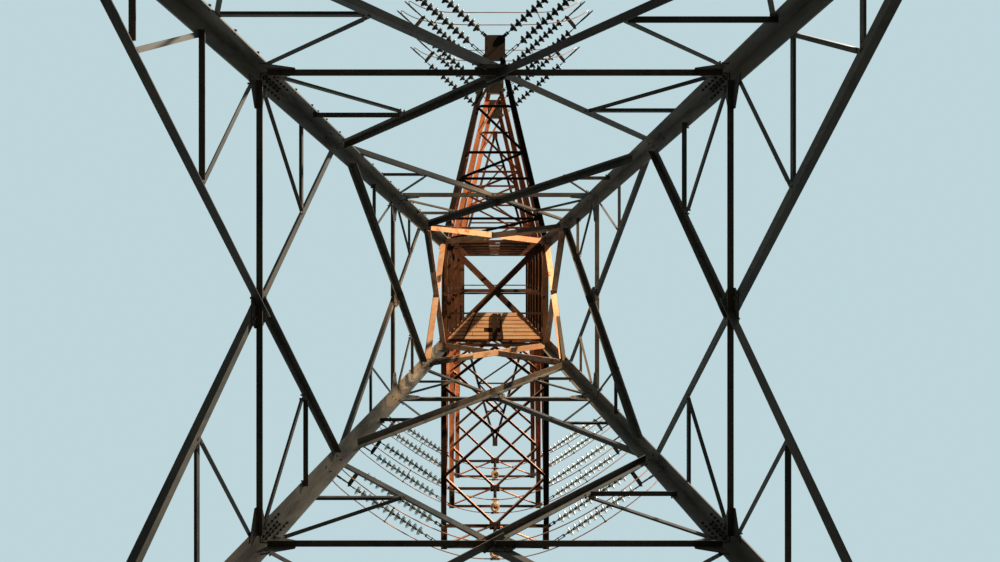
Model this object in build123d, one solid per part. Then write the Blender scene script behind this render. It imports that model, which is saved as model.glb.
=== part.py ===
"""Lattice transmission pylon for a sharp bend in a line: four sloping legs, an upright cage, three pointed arms on
the inner side of the bend, three square-ended arms on the outer side, two earth-wire arms, and the insulator strings
with their jumper loops.

Millimetres. Z is up, the origin is on the ground at the tower's axis, +X points along the pointed arms (the inner
side of the bend) and the two spans of the line leave towards +Y and -Y.
"""
from build123d import *
import math
import os

# Body: half widths over the outer corners of the legs, and the lowest and highest point of each panel's diagonals
BASE_HALF = 5100.0
CAGE_HALF = 1560.0
CAGE_FOOT = 23150.0
PANELS = ((0.0, 7700.0), (7820.0, 14880.0), (15100.0, 21000.0))
BATTER = (BASE_HALF - CAGE_HALF) / CAGE_FOOT
SLOPE = math.atan(BATTER)

# Legs: equal angles with their corner outwards
LEG_WIDTH = 250.0
LEG_THICK = 22.0
CAGE_LEG_WIDTH = 200.0
CAGE_LEG_THICK = 18.0

# Foot plates and their four anchor holes
FOOT_SIZE = 700.0
FOOT_THICK = 40.0
FOOT_INSET = 110.0
ANCHOR_HALF_SPACING = 250.0
ANCHOR_HOLE_RADIUS = 21.0

# Face bracing: width of each angle's legs from the bottom panel up, and the thickness that they share. The other leg
# of a diagonal stands at its lower edge (-1) or at its upper edge (1), in the lower and in the upper half of a panel.
INNER_DIAGONALS = (130.0, 115.0, 140.0)
OUTER_DIAGONALS = (130.0, 105.0, 90.0)
INNER_SIDES = ((-1, 1), (-1, 1), (1, 1))
OUTER_SIDES = (-1, 1)
BELTS = (110.0, 90.0, 80.0)
BELT_DROPS = (80.0, 80.0, 130.0)
BELT_OUTSIDE = (False, False, True)
REDUNDANTS = (75.0, 62.0, 55.0)
BAR_THICK = 12.0
LOWER_NODES = ((0.36, 0.69), (0.375, 0.69), (0.5,))
UPPER_NODES = ((0.5,), (0.5,), (0.5,))
NECK_BAR = 100.0
BAR_CLEARANCE = 10.0
OUTER_INSET = 60.0
TOE_INSET = 215.0
PANEL_GAP = 10.0
HALF_GAP = 8.0

# Gusset plates: half width and half height on the belts, reach and half height at the legs
BELT_GUSSET = (330.0, 230.0)
LEG_GUSSET = (560.0, 300.0)

# Cage: heights of its horizontals, its bars, and the earth-wire arms at the top
CAGE_LEVELS = (23150.0, 25100.0, 27050.0, 29000.0, 30950.0, 32900.0, 35400.0)
CAGE_BAR = 80.0
CAGE_THICK = 8.0
CAGE_TOP_MARGIN = 60.0
ARM_LEVELS = (0, 2, 4)
ARM_NAMES = ("lower", "middle", "upper")
PLAN_LEVELS = (2, 4)
PLAN_FLANGE = 180.0
PLAN_WEB = (16.0, 50.0)
PLAN_THICK = 8.0
PLAN_CLEARANCE = 3.0

# Work platform in the cage, on the side of the square-ended arms
PLATFORM_LEVEL = 1
SLAT_COUNT = 9
SLAT_WIDTH = 78.0
SLAT_THICK = 24.0
SLAT_PITCH = 92.0
PLATFORM_START = 1445.0
PLATFORM_BEARER = (120.0, 40.0)

# Arms: lengths from the tower's axis and the sizes of their bars
ARM_CHORD = 150.0
ARM_TIE = 100.0
ARM_BAR = 70.0
ARM_THICK = 12.0
ROOT_PLATE = (190.0, 260.0)
TIE_RISE = 1950.0
TIE_TIP_RISE = 60.0
POINTED_REACH = 7460.0
TIP_LENGTH = 720.0
TIP_HALF = 295.0
POINTED_RUNGS = (2170.0, 3330.0, 4090.0, 5430.0)
SQUARE_REACH = 7390.0
SQUARE_INNER_BEAM = 6720.0
SQUARE_NODES = (2710.0, 4010.0, 5330.0)
CORNER_BLOCK = (670.0, 330.0)
BEAM_GUSSET_HALF = 150.0

# Earth-wire arms
EARTH_REACH = 7100.0
EARTH_ROOT_DROP = 1250.0
EARTH_TIP_HALF = 110.0
EARTH_TIP_LENGTH = 360.0
EARTH_RUNGS = (2900.0, 4200.0, 5500.0)

# Tension strings: direction seen from above and length of the first link on the two kinds of arm, then their slope,
# the spacing of the pair and the lengths along it
POINTED_AZIMUTH = 50.0
SQUARE_AZIMUTH = 54.0
POINTED_LINK = 300.0
SQUARE_LINK = 400.0
STRING_SLOPE = 8.0
STRING_SPACING = 460.0
STRING_EDGE = 80.0
DISC_PITCH = 195.0
DISC_COUNT = 12
STRING_RADIUS = 95.0
STRING_SIDES = 6
LINK_RADIUS = 20.0
EYE_SIZE = 150.0
EYE_THICK = 50.0
YOKE_LENGTH = 240.0
YOKE_THICK = 24.0
CLAMP_SPACING = 400.0
CLAMP_LENGTH = 620.0
CLAMP_WIDTH = 60.0
TERMINAL_FROM_YOKE = 410.0
TERMINAL_DROP = 120.0

# Pilot strings that steady the jumpers under the square-ended arms
PILOT_DISCS = 7
PILOT_LINK = 240.0
PILOT_BAR = (460.0, 60.0, 24.0)
PILOT_CLAMP = (60.0, 120.0)

# Jumper conductors: half of each route, from the terminal under a clamp to the middle of the loop. The heights are
# taken from the underside of the arm.
JUMPER_RADIUS = 15.0
JUMPER_SIDES = 3
ARC_SHARE = 0.45
SEAT_GAP = 0.3
POINTED_ROUTES = (
    (
        (9240, 3106, -624.1), (9240, 3106, -780), (9195, 3060, -1035), (9080, 2960, -1250), (8925, 2800, -1415),
        (8775, 2570, -1545), (8650, 2270, -1645), (8560, 1910, -1720), (8500, 1510, -1770), (8470, 1090, -1800),
        (8458, 655, -1817), (8455, 215, -1822),
    ),
    (
        (9547, 2849, -624.1), (9547, 2849, -780), (9510, 2800, -1030), (9400, 2700, -1240), (9250, 2540, -1400),
        (9100, 2320, -1530), (8985, 2040, -1630), (8910, 1710, -1705), (8872, 1340, -1757), (8858, 960, -1788),
        (8855, 570, -1805), (8855, 190, -1810),
    ),
)
SQUARE_ROUTES = (
    (
        (-4707, 4336, -684.5), (-4707, 4336, -850), (-4750, 4240, -1110), (-4850, 4020, -1360), (-5000, 3730, -1560),
        (-5190, 3400, -1715), (-5400, 3040, -1825), (-5615, 2660, -1900), (-5825, 2270, -1950), (-6020, 1870, -1980),
        (-6195, 1460, -1995), (-6345, 1040, -2000), (-6455, 620, -2000), (-6515, 200, -1995),
    ),
    (
        (-5031, 4571, -684.5), (-5031, 4571, -850), (-5075, 4480, -1110), (-5180, 4265, -1365), (-5335, 3975, -1570),
        (-5530, 3640, -1730), (-5745, 3280, -1840), (-5970, 2905, -1915), (-6190, 2520, -1960), (-6395, 2125, -1985),
        (-6580, 1720, -1998), (-6735, 1300, -2003), (-6850, 870, -2002), (-6908, 530, -1999), (-6925, 190, -1995),
    ),
)


def half_width(z):
    """Half width of the sloping body over its corners at the height z."""
    return BASE_HALF - BATTER * z


def vec(*xyz):
    return Vector(*xyz)


def prism(plane, points, length):
    """A straight solid: the outline, in the plane's own axes, carried along the plane's normal."""
    return extrude(plane * make_face(Polyline(*points, close=True)), amount=length)


def angle_outline(width, thick, side=1):
    """An angle section hung under its flat leg: the flat leg lies at y = 0, the other stands at the given side."""
    half = width / 2
    outline = [(-half, 0), (half, 0), (half, -width), (half - thick, -width), (half - thick, -thick), (-half, -thick)]
    return [(side * x, y) for x, y in outline]


def bar(start, end, up, outline, drop=0.0):
    """A straight bar from start to end, with the top of its outline turned up and drop below the line."""
    start, end, up = vec(*start), vec(*end), vec(*up)
    along = (end - start).normalized()
    across = up.cross(along).normalized()
    plane = Plane(origin=start, x_dir=across, z_dir=along)
    return prism(plane, [(x, y - drop) for x, y in outline], (end - start).length)


def flat_outline(width, thick):
    return [(-width / 2, 0), (width / 2, 0), (width / 2, -thick), (-width / 2, -thick)]


def block(low, high):
    """A box from its lowest to its highest corner."""
    size = [high[i] - low[i] for i in range(3)]
    centre = [(high[i] + low[i]) / 2 for i in range(3)]
    return Pos(*centre) * Box(*size)


def fused(shapes):
    """One shape from several that overlap."""
    first, *rest = shapes
    return first.fuse(*rest).clean() if rest else first


def write(name, shapes):
    """Write one named piece, which may hold several solids that stay apart."""
    shapes = shapes if isinstance(shapes, list) else [shapes]
    solids = [s for shape in shapes for s in shape.solids()]
    export_step(solids[0] if len(solids) == 1 else Compound(children=solids), f"parts/{name}.step")


def turned(shape, quarter):
    """The same shape on another face of the tower."""
    return Rot(0, 0, 90 * quarter) * shape


def mirrored_y(shape):
    return mirror(shape, Plane.XZ)


def mirrored_x(shape):
    return mirror(shape, Plane.YZ)


# Face of the sloping body on the +X side: x across the face, y up its slope, z out of it
BODY_FACE = Plane(origin=(BASE_HALF, 0, 0), x_dir=(0, 1, 0), z_dir=(math.cos(SLOPE), 0, math.sin(SLOPE)))
FACE_DEPTH = LEG_THICK * math.cos(SLOPE)
INNER_INSET = LEG_THICK + max(INNER_DIAGONALS) + BAR_CLEARANCE
CAGE_FACE = Plane(origin=(CAGE_HALF, 0, 0), x_dir=(0, 1, 0), z_dir=(1, 0, 0))


def on_slope(y, z):
    """A point of the sloping face, given by its offset from the centre line and its real height."""
    return (y, z / math.cos(SLOPE), 0)


def layer_bar(start, end, outline, outside):
    """A bar between two points of the sloping face. It lies on the outer faces of the legs, or on their inner faces."""
    if outside:
        return bar(on_slope(*start), on_slope(*end), (0, 0, 1), [(x, -y) for x, y in outline])
    return bar(on_slope(*start), on_slope(*end), (0, 0, 1), outline, FACE_DEPTH)


def crossing_height(low, high):
    """Where the two diagonals of a panel cross."""
    return low + (high - low) * half_width(low) / (half_width(low) + half_width(high))


def panel_window(low, high, inset):
    """The space between the two legs that the bars of one face may fill, in the face's own axes."""
    corners = [(HALF_GAP, low), (half_width(low) - inset, low), (half_width(high) - inset, high), (HALF_GAP, high)]
    outline = [on_slope(*corner)[:2] for corner in corners]
    return prism(Plane(origin=(0, 0, -LEG_WIDTH)), outline, 2 * LEG_WIDTH)


def quarter_panel(index, upper, outside):
    """A quarter of a crossed panel, on the side of +y: half of one diagonal and its redundant bars out to the leg.

    The two diagonals of a face pass each other, one on the inner faces of the legs and one on the outer faces. The
    half of the belt and its plate at the leg belong to one of the two.
    """
    low, high = PANELS[index]
    cross = crossing_height(low, high)
    belt = cross - BELT_DROPS[index]
    end = high if upper else low
    width = (OUTER_DIAGONALS if outside else INNER_DIAGONALS)[index]
    sides = OUTER_SIDES if outside else INNER_SIDES[index]
    diagonal = angle_outline(width, BAR_THICK, sides[upper])
    thin = flat_outline(REDUNDANTS[index], BAR_THICK)
    bars = [layer_bar((0, cross), (half_width(end), end), diagonal, outside)]
    if outside == BELT_OUTSIDE[index]:
        outline = angle_outline(BELTS[index], BAR_THICK, -1)
        bars.append(layer_bar((0, belt), (half_width(belt), belt), outline, outside))
        leg = half_width(belt)
        reach, rise = LEG_GUSSET
        outline = [(leg - reach, belt - rise / 3), (leg, belt - rise), (leg, belt + rise), (leg - reach, belt + rise / 3)]
        depth = 0 if outside else -FACE_DEPTH - BAR_THICK
        bars.append(prism(Plane(origin=(0, 0, depth)), [on_slope(*corner)[:2] for corner in outline], BAR_THICK))
    target = (half_width(belt), belt)
    for share in (UPPER_NODES if upper else LOWER_NODES)[index]:
        z = cross + share * (end - cross)
        y = share * half_width(end)
        bars.append(layer_bar((y, z), (half_width(z), z), thin, outside))
        bars.append(layer_bar((y, z), target, thin, outside))
        target = (half_width(z) - TOE_INSET, z)
    inset = OUTER_INSET if outside else INNER_INSET
    bottom = max(low, FOOT_THICK + LEG_THICK) + PANEL_GAP / 2
    return fused(bars) & panel_window(bottom, high - PANEL_GAP / 2, inset)


def whole_panel(index):
    """The four quarters of one panel, on the +X face of the tower."""
    right = [quarter_panel(index, upper=False, outside=False), quarter_panel(index, upper=True, outside=True)]
    left = [quarter_panel(index, upper=False, outside=True), quarter_panel(index, upper=True, outside=False)]
    return [BODY_FACE * shape for shape in right] + [BODY_FACE * mirror(shape, Plane.YZ) for shape in left]


def neck():
    """The crossed pair between the top panel and the cage."""
    low, high = PANELS[-1][1], CAGE_FOOT
    outline = angle_outline(NECK_BAR, BAR_THICK)
    bars = [
        layer_bar((-half_width(low), low), (half_width(high), high), outline, False),
        layer_bar((half_width(low), low), (-half_width(high), high), outline, False),
    ]
    inset = INNER_INSET
    low, high = low + PANEL_GAP / 2, high - PANEL_GAP
    corners = [
        (-half_width(low) + inset, low),
        (half_width(low) - inset, low),
        (half_width(high) - inset, high),
        (-half_width(high) + inset, high),
    ]
    window = prism(Plane(origin=(0, 0, -LEG_WIDTH)), [on_slope(*corner)[:2] for corner in corners], LEG_WIDTH)
    return BODY_FACE * (fused(bars) & window)


def belt_gusset(index):
    """The plate between the inner and the outer diagonal where they cross, which also holds the belt."""
    z = crossing_height(*PANELS[index]) - BELT_DROPS[index] / 2
    half, rise = BELT_GUSSET
    half, rise = half * (1 - 0.15 * index), rise * (1 - 0.15 * index)
    corner = rise / 2
    points = [
        (half, corner), (half - corner, rise), (corner - half, rise), (-half, corner),
        (-half, -corner), (corner - half, -rise), (half - corner, -rise), (half, -corner),
    ]
    outline = [on_slope(y, z + dz)[:2] for y, dz in points]
    return BODY_FACE * prism(Plane(origin=(0, 0, -FACE_DEPTH)), outline, FACE_DEPTH)


def leg_section(corner, width, thick):
    """An angle in plan with its outer corner at (corner, corner) and its legs towards the tower's middle."""
    inner = corner - width
    return [
        (corner, corner), (inner, corner), (inner, corner - thick),
        (corner - thick, corner - thick), (corner - thick, inner), (corner, inner),
    ]


def body_leg():
    """A sloping leg in the corner towards +X and +Y, fused to its foot plate."""
    foot = half_width(FOOT_THICK)
    section = make_face(Polyline(*leg_section(foot, LEG_WIDTH, LEG_THICK), close=True))
    rise = CAGE_FOOT - FOOT_THICK
    leg = Solid.extrude(Pos(0, 0, FOOT_THICK) * section.face(), vec(-BATTER * rise, -BATTER * rise, rise))
    centre = BASE_HALF - FOOT_INSET
    plate = Pos(centre, centre, FOOT_THICK / 2) * Box(FOOT_SIZE, FOOT_SIZE, FOOT_THICK)
    for dx in (-ANCHOR_HALF_SPACING, ANCHOR_HALF_SPACING):
        for dy in (-ANCHOR_HALF_SPACING, ANCHOR_HALF_SPACING):
            plate -= Pos(centre + dx, centre + dy, FOOT_THICK / 2) * Cylinder(ANCHOR_HOLE_RADIUS, 2 * FOOT_THICK)
    return fused([leg, plate])


def cage_leg():
    """An upright leg of the cage in the corner towards +X and +Y."""
    height = CAGE_LEVELS[-1] + CAGE_TOP_MARGIN - CAGE_FOOT
    outline = leg_section(CAGE_HALF, CAGE_LEG_WIDTH, CAGE_LEG_THICK)
    return prism(Plane(origin=(0, 0, CAGE_FOOT)), outline, height)


def cage_face():
    """One face of the cage: horizontals with their other leg as a shelf at the bottom, and a crossed pair a bay."""
    edge = CAGE_HALF - CAGE_LEG_THICK - CAGE_BAR - BAR_CLEARANCE
    levels = [CAGE_LEVELS[0] + CAGE_BAR, *CAGE_LEVELS[1:]]
    shelf = angle_outline(CAGE_BAR, CAGE_THICK, -1)
    strip = flat_outline(CAGE_BAR, CAGE_THICK)
    up = (0, 0, 1)
    bars = [bar((-edge, z - CAGE_BAR / 2, 0), (edge, z - CAGE_BAR / 2, 0), up, shelf, CAGE_LEG_THICK) for z in levels]
    lap = CAGE_THICK / 2
    for low, high in zip(levels, levels[1:]):
        high -= CAGE_BAR
        pair = fused([
            bar((-edge, low, 0), (edge, high, 0), up, strip, CAGE_LEG_THICK),
            bar((edge, low, 0), (-edge, high, 0), up, strip, CAGE_LEG_THICK),
        ])
        bars.append(pair & block((-edge, low - lap, -CAGE_BAR), (edge, high + lap, 0)))
    return CAGE_FACE * fused(bars)


def shelf_top(level):
    """Top of the shelf that a horizontal of the cage forms at one of its levels."""
    return CAGE_LEVELS[level] - CAGE_BAR + CAGE_THICK


def shelf_edge():
    """How far out a piece on the shelves may reach."""
    return CAGE_HALF - CAGE_LEG_THICK - CAGE_THICK - PLAN_CLEARANCE


def plan_brace(level):
    """Crossed double angles that lie on the shelves of the cage's horizontals, with a strut across the middle."""
    low = shelf_top(level)
    edge = shelf_edge()
    web, rise = PLAN_WEB
    half = PLAN_FLANGE / 2
    section = [(-half, 0), (half, 0), (half, PLAN_THICK), (web / 2, PLAN_THICK), (web / 2, rise), (-web / 2, rise),
               (-web / 2, PLAN_THICK), (-half, PLAN_THICK)]
    length = 2 * math.sqrt(2) * CAGE_HALF
    bars = []
    for turn in (45, 135):
        plane = Plane(origin=(0, 0, low), x_dir=(0, 1, 0), z_dir=(1, 0, 0))
        bars.append(Rot(0, 0, turn) * (Pos(-length / 2, 0, 0) * prism(plane, section, length)))
    strut = block((-ARM_BAR / 2, -edge, low), (ARM_BAR / 2, edge, low + PLAN_THICK))
    return fused([*bars, strut]) & block((-edge, -edge, low - 1), (edge, edge, low + rise + 1))


def work_platform():
    """Planks across the cage, on the shelves of the horizontals, tied by one bearer under their middle."""
    low = shelf_top(PLATFORM_LEVEL)
    edge = shelf_edge()
    planks = []
    for i in range(SLAT_COUNT):
        x = -PLATFORM_START + i * SLAT_PITCH
        planks.append(block((x, -edge, low), (x + SLAT_WIDTH, edge, low + SLAT_THICK)))
    width, depth = PLATFORM_BEARER
    end = -PLATFORM_START + (SLAT_COUNT - 1) * SLAT_PITCH + SLAT_WIDTH
    planks.append(block((-PLATFORM_START, -width / 2, low - depth), (end, width / 2, low + SLAT_THICK / 2)))
    return fused(planks)


def root_plate(y, low):
    """The plate that bolts an arm's bar to the outer face of a cage leg."""
    width, height = ROOT_PLATE
    return block((CAGE_HALF, y - width / 2, low), (CAGE_HALF + ARM_THICK, y + width / 2, low + height))


def trimmed(shapes, low=0.0, high=2 * CAGE_LEVELS[-1]):
    """What is left of an arm's bars outside the cage's face, between two heights."""
    reach = 2 * POINTED_REACH
    return fused(shapes) & block((CAGE_HALF, -reach, low), (reach, reach, high))


def chord_top(level):
    """Top face of an arm's chords, which stand on the level of the cage's horizontal."""
    return CAGE_LEVELS[level] + ARM_CHORD


def arm_angle(start, end, width, side):
    return bar(start, end, (0, 0, 1), angle_outline(width, ARM_THICK, side))


def arm_flat(start, end, up=(0, 0, 1)):
    return bar(start, end, up, flat_outline(ARM_BAR, ARM_THICK))


def along_chord(x, root, tip):
    """Offset of a chord from the arm's centre line at x, between its root (x, y) and its tip (x, y)."""
    return root[1] + (tip[1] - root[1]) * (x - root[0]) / (tip[0] - root[0])


POINTED_ROOT = (CAGE_HALF, CAGE_HALF - CAGE_LEG_WIDTH / 2)
POINTED_TIP = (POINTED_REACH - TIP_LENGTH, TIP_HALF - ARM_CHORD / 2)
SQUARE_LINE = CAGE_HALF - ARM_CHORD / 2
EARTH_TIP = (EARTH_REACH - EARTH_TIP_LENGTH, EARTH_TIP_HALF / 2)


def pointed_arm(level):
    """The flat frame of a pointed arm towards +X: two chords that close on a tip box, with rungs and a zigzag."""
    z = chord_top(level)
    tip = POINTED_TIP[0]
    bars = []
    for s in (1, -1):
        root = (CAGE_HALF, s * POINTED_ROOT[1], z)
        bars.append(arm_angle(root, (tip + ARM_THICK, s * POINTED_TIP[1], z), ARM_CHORD, s))
        bars.append(root_plate(s * POINTED_ROOT[1], CAGE_LEVELS[level]))
    stations = (CAGE_HALF, *POINTED_RUNGS, tip)
    for i, (x0, x1) in enumerate(zip(stations, stations[1:])):
        s = 1 if i % 2 else -1
        y0, y1 = along_chord(x0, POINTED_ROOT, POINTED_TIP), along_chord(x1, POINTED_ROOT, POINTED_TIP)
        bars.append(arm_flat((x0, s * y0, z), (x1, -s * y1, z)))
        if x1 < tip:
            bars.append(arm_flat((x1, -y1, z), (x1, y1, z)))
    box = block((tip, -TIP_HALF, CAGE_LEVELS[level]), (POINTED_REACH, TIP_HALF, z))
    hollow = block((tip + ARM_THICK, ARM_THICK - TIP_HALF, CAGE_LEVELS[level] + ARM_THICK),
                   (POINTED_REACH - ARM_THICK, TIP_HALF - ARM_THICK, z + ARM_THICK))
    return fused([trimmed(bars), box - hollow])


def square_arm(level):
    """The flat frame of a square-ended arm: parallel chords, two cross beams, corner plates and bracing in plan."""
    z, low = chord_top(level), CAGE_LEVELS[level]
    end = SQUARE_REACH - ARM_CHORD / 2
    y = SQUARE_LINE
    length, width = CORNER_BLOCK
    bars = []
    for s in (1, -1):
        bars.append(arm_angle((CAGE_HALF, s * y, z), (SQUARE_REACH, s * y, z), ARM_CHORD, s))
        bars.append(root_plate(s * (CAGE_HALF - ROOT_PLATE[0] / 2), low))
        near, far = sorted((s * CAGE_HALF, s * (CAGE_HALF - width)))
        bars.append(block((SQUARE_REACH - length, near, low), (SQUARE_REACH, far, low + ARM_THICK)))
    for x in (SQUARE_INNER_BEAM, end):
        bars.append(arm_angle((x, -y, z), (x, y, z), ARM_CHORD, -1))
    route = [(CAGE_HALF, 0), (SQUARE_NODES[0], y), (SQUARE_NODES[1], 0), (SQUARE_NODES[2], y), (SQUARE_INNER_BEAM, 0),
             (end, y)]
    for (x0, y0), (x1, y1) in zip(route, route[1:]):
        for s in (1, -1):
            bars.append(arm_flat((x0, s * y0, z), (x1, s * y1, z)))
    half = BEAM_GUSSET_HALF
    bars.append(block((SQUARE_INNER_BEAM - half, -half, low), (SQUARE_INNER_BEAM + half, half, low + ARM_THICK)))
    return mirrored_x(trimmed(bars))


def arm_tie(root, tip, low, rise, posts, toe):
    """One side of an arm above its chord: a tie down to the tip and the posts that stand on the chord's top face."""
    top = low + rise
    bars = [
        arm_angle((root[0], root[1], top), (tip[0], tip[1], low + toe), ARM_TIE, 1),
        root_plate(root[1], top - ARM_TIE),
    ]
    for x in posts:
        y = along_chord(x, root, tip)
        tie_z = top + (low + toe - top) * (x - root[0]) / (tip[0] - root[0])
        bars.append(arm_flat((x, y, low - ARM_THICK), (x, y, tie_z - ARM_THICK / 2), (0, 1, 0)))
    return trimmed(bars, low)


def earth_arm():
    """The flat frame of an earth-wire arm towards +X: two chords that rise to the tip plate, rungs and a zigzag."""
    top = CAGE_LEVELS[-1]
    bottom = top - EARTH_ROOT_DROP
    root, tip = POINTED_ROOT, EARTH_TIP

    def at(x, s):
        share = (x - root[0]) / (tip[0] - root[0])
        return (x, s * along_chord(x, root, tip), bottom + (top - bottom) * share)

    bars = []
    for s in (1, -1):
        bars.append(arm_angle(at(CAGE_HALF, s), at(EARTH_REACH - EARTH_TIP_LENGTH / 2, s), ARM_TIE, s))
        bars.append(root_plate(s * root[1], bottom - ROOT_PLATE[1] / 2))
    stations = (CAGE_HALF, *EARTH_RUNGS)
    for i, (x0, x1) in enumerate(zip(stations, stations[1:])):
        s = 1 if i % 2 else -1
        bars.append(arm_flat(at(x0, s), at(x1, -s)))
        bars.append(arm_flat(at(x1, -1), at(x1, 1)))
    bars.append(block((tip[0], -EARTH_TIP_HALF, top - ARM_TIE), (EARTH_REACH, EARTH_TIP_HALF, top)))
    return trimmed(bars, high=top)


def rod(start, end, radius, sides):
    """A straight bar with few sides."""
    start, end = vec(*start), vec(*end)
    along = (end - start).normalized()
    level = along.cross(vec(0, 0, 1)) if abs(along.Z) < 0.9 else vec(0, 1, 0)
    plane = Plane(origin=start, x_dir=level.normalized(), z_dir=along)
    return prism(plane, few_sided(radius, sides), (end - start).length)


def few_sided(radius, sides):
    """A regular outline with a flat side at its top and bottom."""
    turn = 2 * math.pi / sides
    return [(radius * math.sin((i + 0.5) * turn), radius * math.cos((i + 0.5) * turn)) for i in range(sides)]


def tension_set(outer, inner, degrees, link):
    """Two strings side by side towards +Y, from their eye plates to the yoke and its two dead-end clamps.

    outer is the point under the arm where the first string hangs. inner is 1 where the second string lies behind the
    first, seen along +X, and -1 where it lies in front. Its eye is shifted along the line so that both eyes lie on
    one line along X. The strings point that many degrees from +X, and link is the length of the first one's link.
    """
    azimuth, slope = math.radians(degrees), math.radians(STRING_SLOPE)
    flat = vec(math.cos(azimuth), math.sin(azimuth), 0)
    along = flat * math.cos(slope) - vec(0, 0, math.sin(slope))
    side = vec(-math.sin(azimuth), math.cos(azimuth), 0) * inner
    shift = -inner * STRING_SPACING / math.tan(azimuth)
    first = vec(*outer) - vec(0, 0, EYE_THICK / 2)
    second = first + side * STRING_SPACING
    discs_from = link + max(shift, 0)
    discs_to = discs_from + DISC_PITCH * DISC_COUNT
    yoke_from = discs_to + EYE_SIZE
    yoke_to = yoke_from + YOKE_LENGTH
    shapes = []
    for origin, begin in ((first, 0), (second, shift)):
        eye = origin + flat * begin
        shapes.append(Pos(eye.X, eye.Y, eye.Z) * Box(EYE_SIZE, EYE_SIZE, EYE_THICK))
        shapes.append(rod(eye, origin + along * discs_from, LINK_RADIUS, 4))
        shapes.append(rod(origin + along * (discs_from - LINK_RADIUS), origin + along * discs_to, STRING_RADIUS,
                          STRING_SIDES))
        shapes.append(rod(origin + along * discs_to, origin + along * (yoke_from + LINK_RADIUS), LINK_RADIUS, 4))
    up = side.cross(along).normalized() * inner
    middle = first + side * (STRING_SPACING / 2)
    half = (STRING_SPACING + EYE_SIZE) / 2
    yoke = [(-half, -YOKE_THICK / 2), (half, -YOKE_THICK / 2), (half, YOKE_THICK / 2), (-half, YOKE_THICK / 2)]
    shapes.append(prism(Plane(origin=middle + along * yoke_from, x_dir=side, z_dir=along), yoke, YOKE_LENGTH))
    for s in (-1, 1):
        origin = middle + side * (s * CLAMP_SPACING / 2)
        near, far = origin + along * (yoke_to - YOKE_THICK), origin + along * (yoke_to + CLAMP_LENGTH)
        shapes.append(rod(near, far, CLAMP_WIDTH / math.sqrt(2), 4))
        pad = origin + along * (yoke_to + TERMINAL_FROM_YOKE)
        half = CLAMP_WIDTH / 2
        shapes.append(block((pad.X - half, pad.Y - half, pad.Z - TERMINAL_DROP), (pad.X + half, pad.Y + half, pad.Z)))
    return fused(shapes)


def pilot_string(x, top):
    """A hanging string under the inner beam, with a short bar and two clamps over the jumper conductors."""
    length, width, thick = PILOT_BAR
    clamp_length, clamp_width = PILOT_CLAMP
    lowest = top + min(SQUARE_ROUTES[0][-1][2], SQUARE_ROUTES[1][-1][2])
    under = lowest + JUMPER_RADIUS * math.cos(math.pi / JUMPER_SIDES) + SEAT_GAP
    bar_low = under + clamp_length
    discs_top = top - PILOT_LINK
    discs_low = discs_top - PILOT_DISCS * DISC_PITCH
    shapes = [
        block((x - EYE_SIZE / 2, -EYE_SIZE / 2, top - EYE_THICK), (x + EYE_SIZE / 2, EYE_SIZE / 2, top)),
        rod((x, 0, top - EYE_THICK), (x, 0, discs_top), LINK_RADIUS, 4),
        rod((x, 0, discs_top), (x, 0, discs_low), STRING_RADIUS, STRING_SIDES),
        rod((x, 0, discs_low), (x, 0, bar_low + thick / 2), LINK_RADIUS, 4),
        block((x - length / 2, -width / 2, bar_low), (x + length / 2, width / 2, bar_low + thick)),
    ]
    for route in SQUARE_ROUTES:
        near, far = route[-1][0] - width / 2, route[-1][0] + width / 2
        shapes.append(block((near, -clamp_width / 2, under), (far, clamp_width / 2, bar_low)))
    return fused(shapes)


def jumper(half_route, seat, name):
    """One jumper conductor: straight runs with an arc at each point, mirrored about the arm's middle."""
    last = half_route[-1]
    route = [vec(x, y, seat + z) for x, y, z in ((last[0], 0, last[2]), *reversed(half_route))]
    radii = []
    for i, (before, here, after) in enumerate(zip(route, route[1:], route[2:])):
        turn = math.radians((here - before).get_angle(after - here))
        run = (here - before).length * (2 if i == 0 else 1)
        radii.append(ARC_SHARE * min(run, (after - here).length) / math.tan(turn / 2))
    path = FilletPolyline(*route, radius=radii)
    outline = Polyline(*few_sided(JUMPER_RADIUS, JUMPER_SIDES), close=True)
    section = Plane(origin=route[0], x_dir=(-1, 0, 0), z_dir=(0, 1, 0)) * make_face(outline)
    half = sweep(section, path)
    tube = fused([half, mirrored_y(half)])
    share = tube.volume / (2 * section.area * path.length)
    print(f"{name}: length {2 * path.length:.0f}, smallest radius {min(radii):.0f}, volume share {share:.4f}")
    return tube


os.makedirs("parts", exist_ok=True)

FACE_NAMES = ("right", "back", "left", "front")
CORNER_NAMES = ("back_right", "back_left", "front_left", "front_right")
PANEL_NAMES = ("base", "middle", "waist")

leg = body_leg()
for quarter, corner in enumerate(CORNER_NAMES):
    write(f"leg_{corner}", turned(leg, quarter))
write("cage_legs", [turned(cage_leg(), quarter) for quarter in range(4)])

neck_pair = neck()
for index, panel in enumerate(PANEL_NAMES):
    solids = whole_panel(index) + ([neck_pair] if panel == "waist" else [])
    for quarter, face in enumerate(FACE_NAMES):
        write(f"{panel}_bracing_{face}", [turned(solid, quarter) for solid in solids])
gussets = [belt_gusset(index) for index in range(len(PANEL_NAMES))]
write("belt_gussets", [turned(plate, quarter) for plate in gussets for quarter in range(4)])

side = cage_face()
for quarter, face in enumerate(FACE_NAMES):
    write(f"cage_bracing_{face}", turned(side, quarter))
write("cage_plan_braces", [plan_brace(level) for level in PLAN_LEVELS])
write("work_platform", work_platform())

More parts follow.
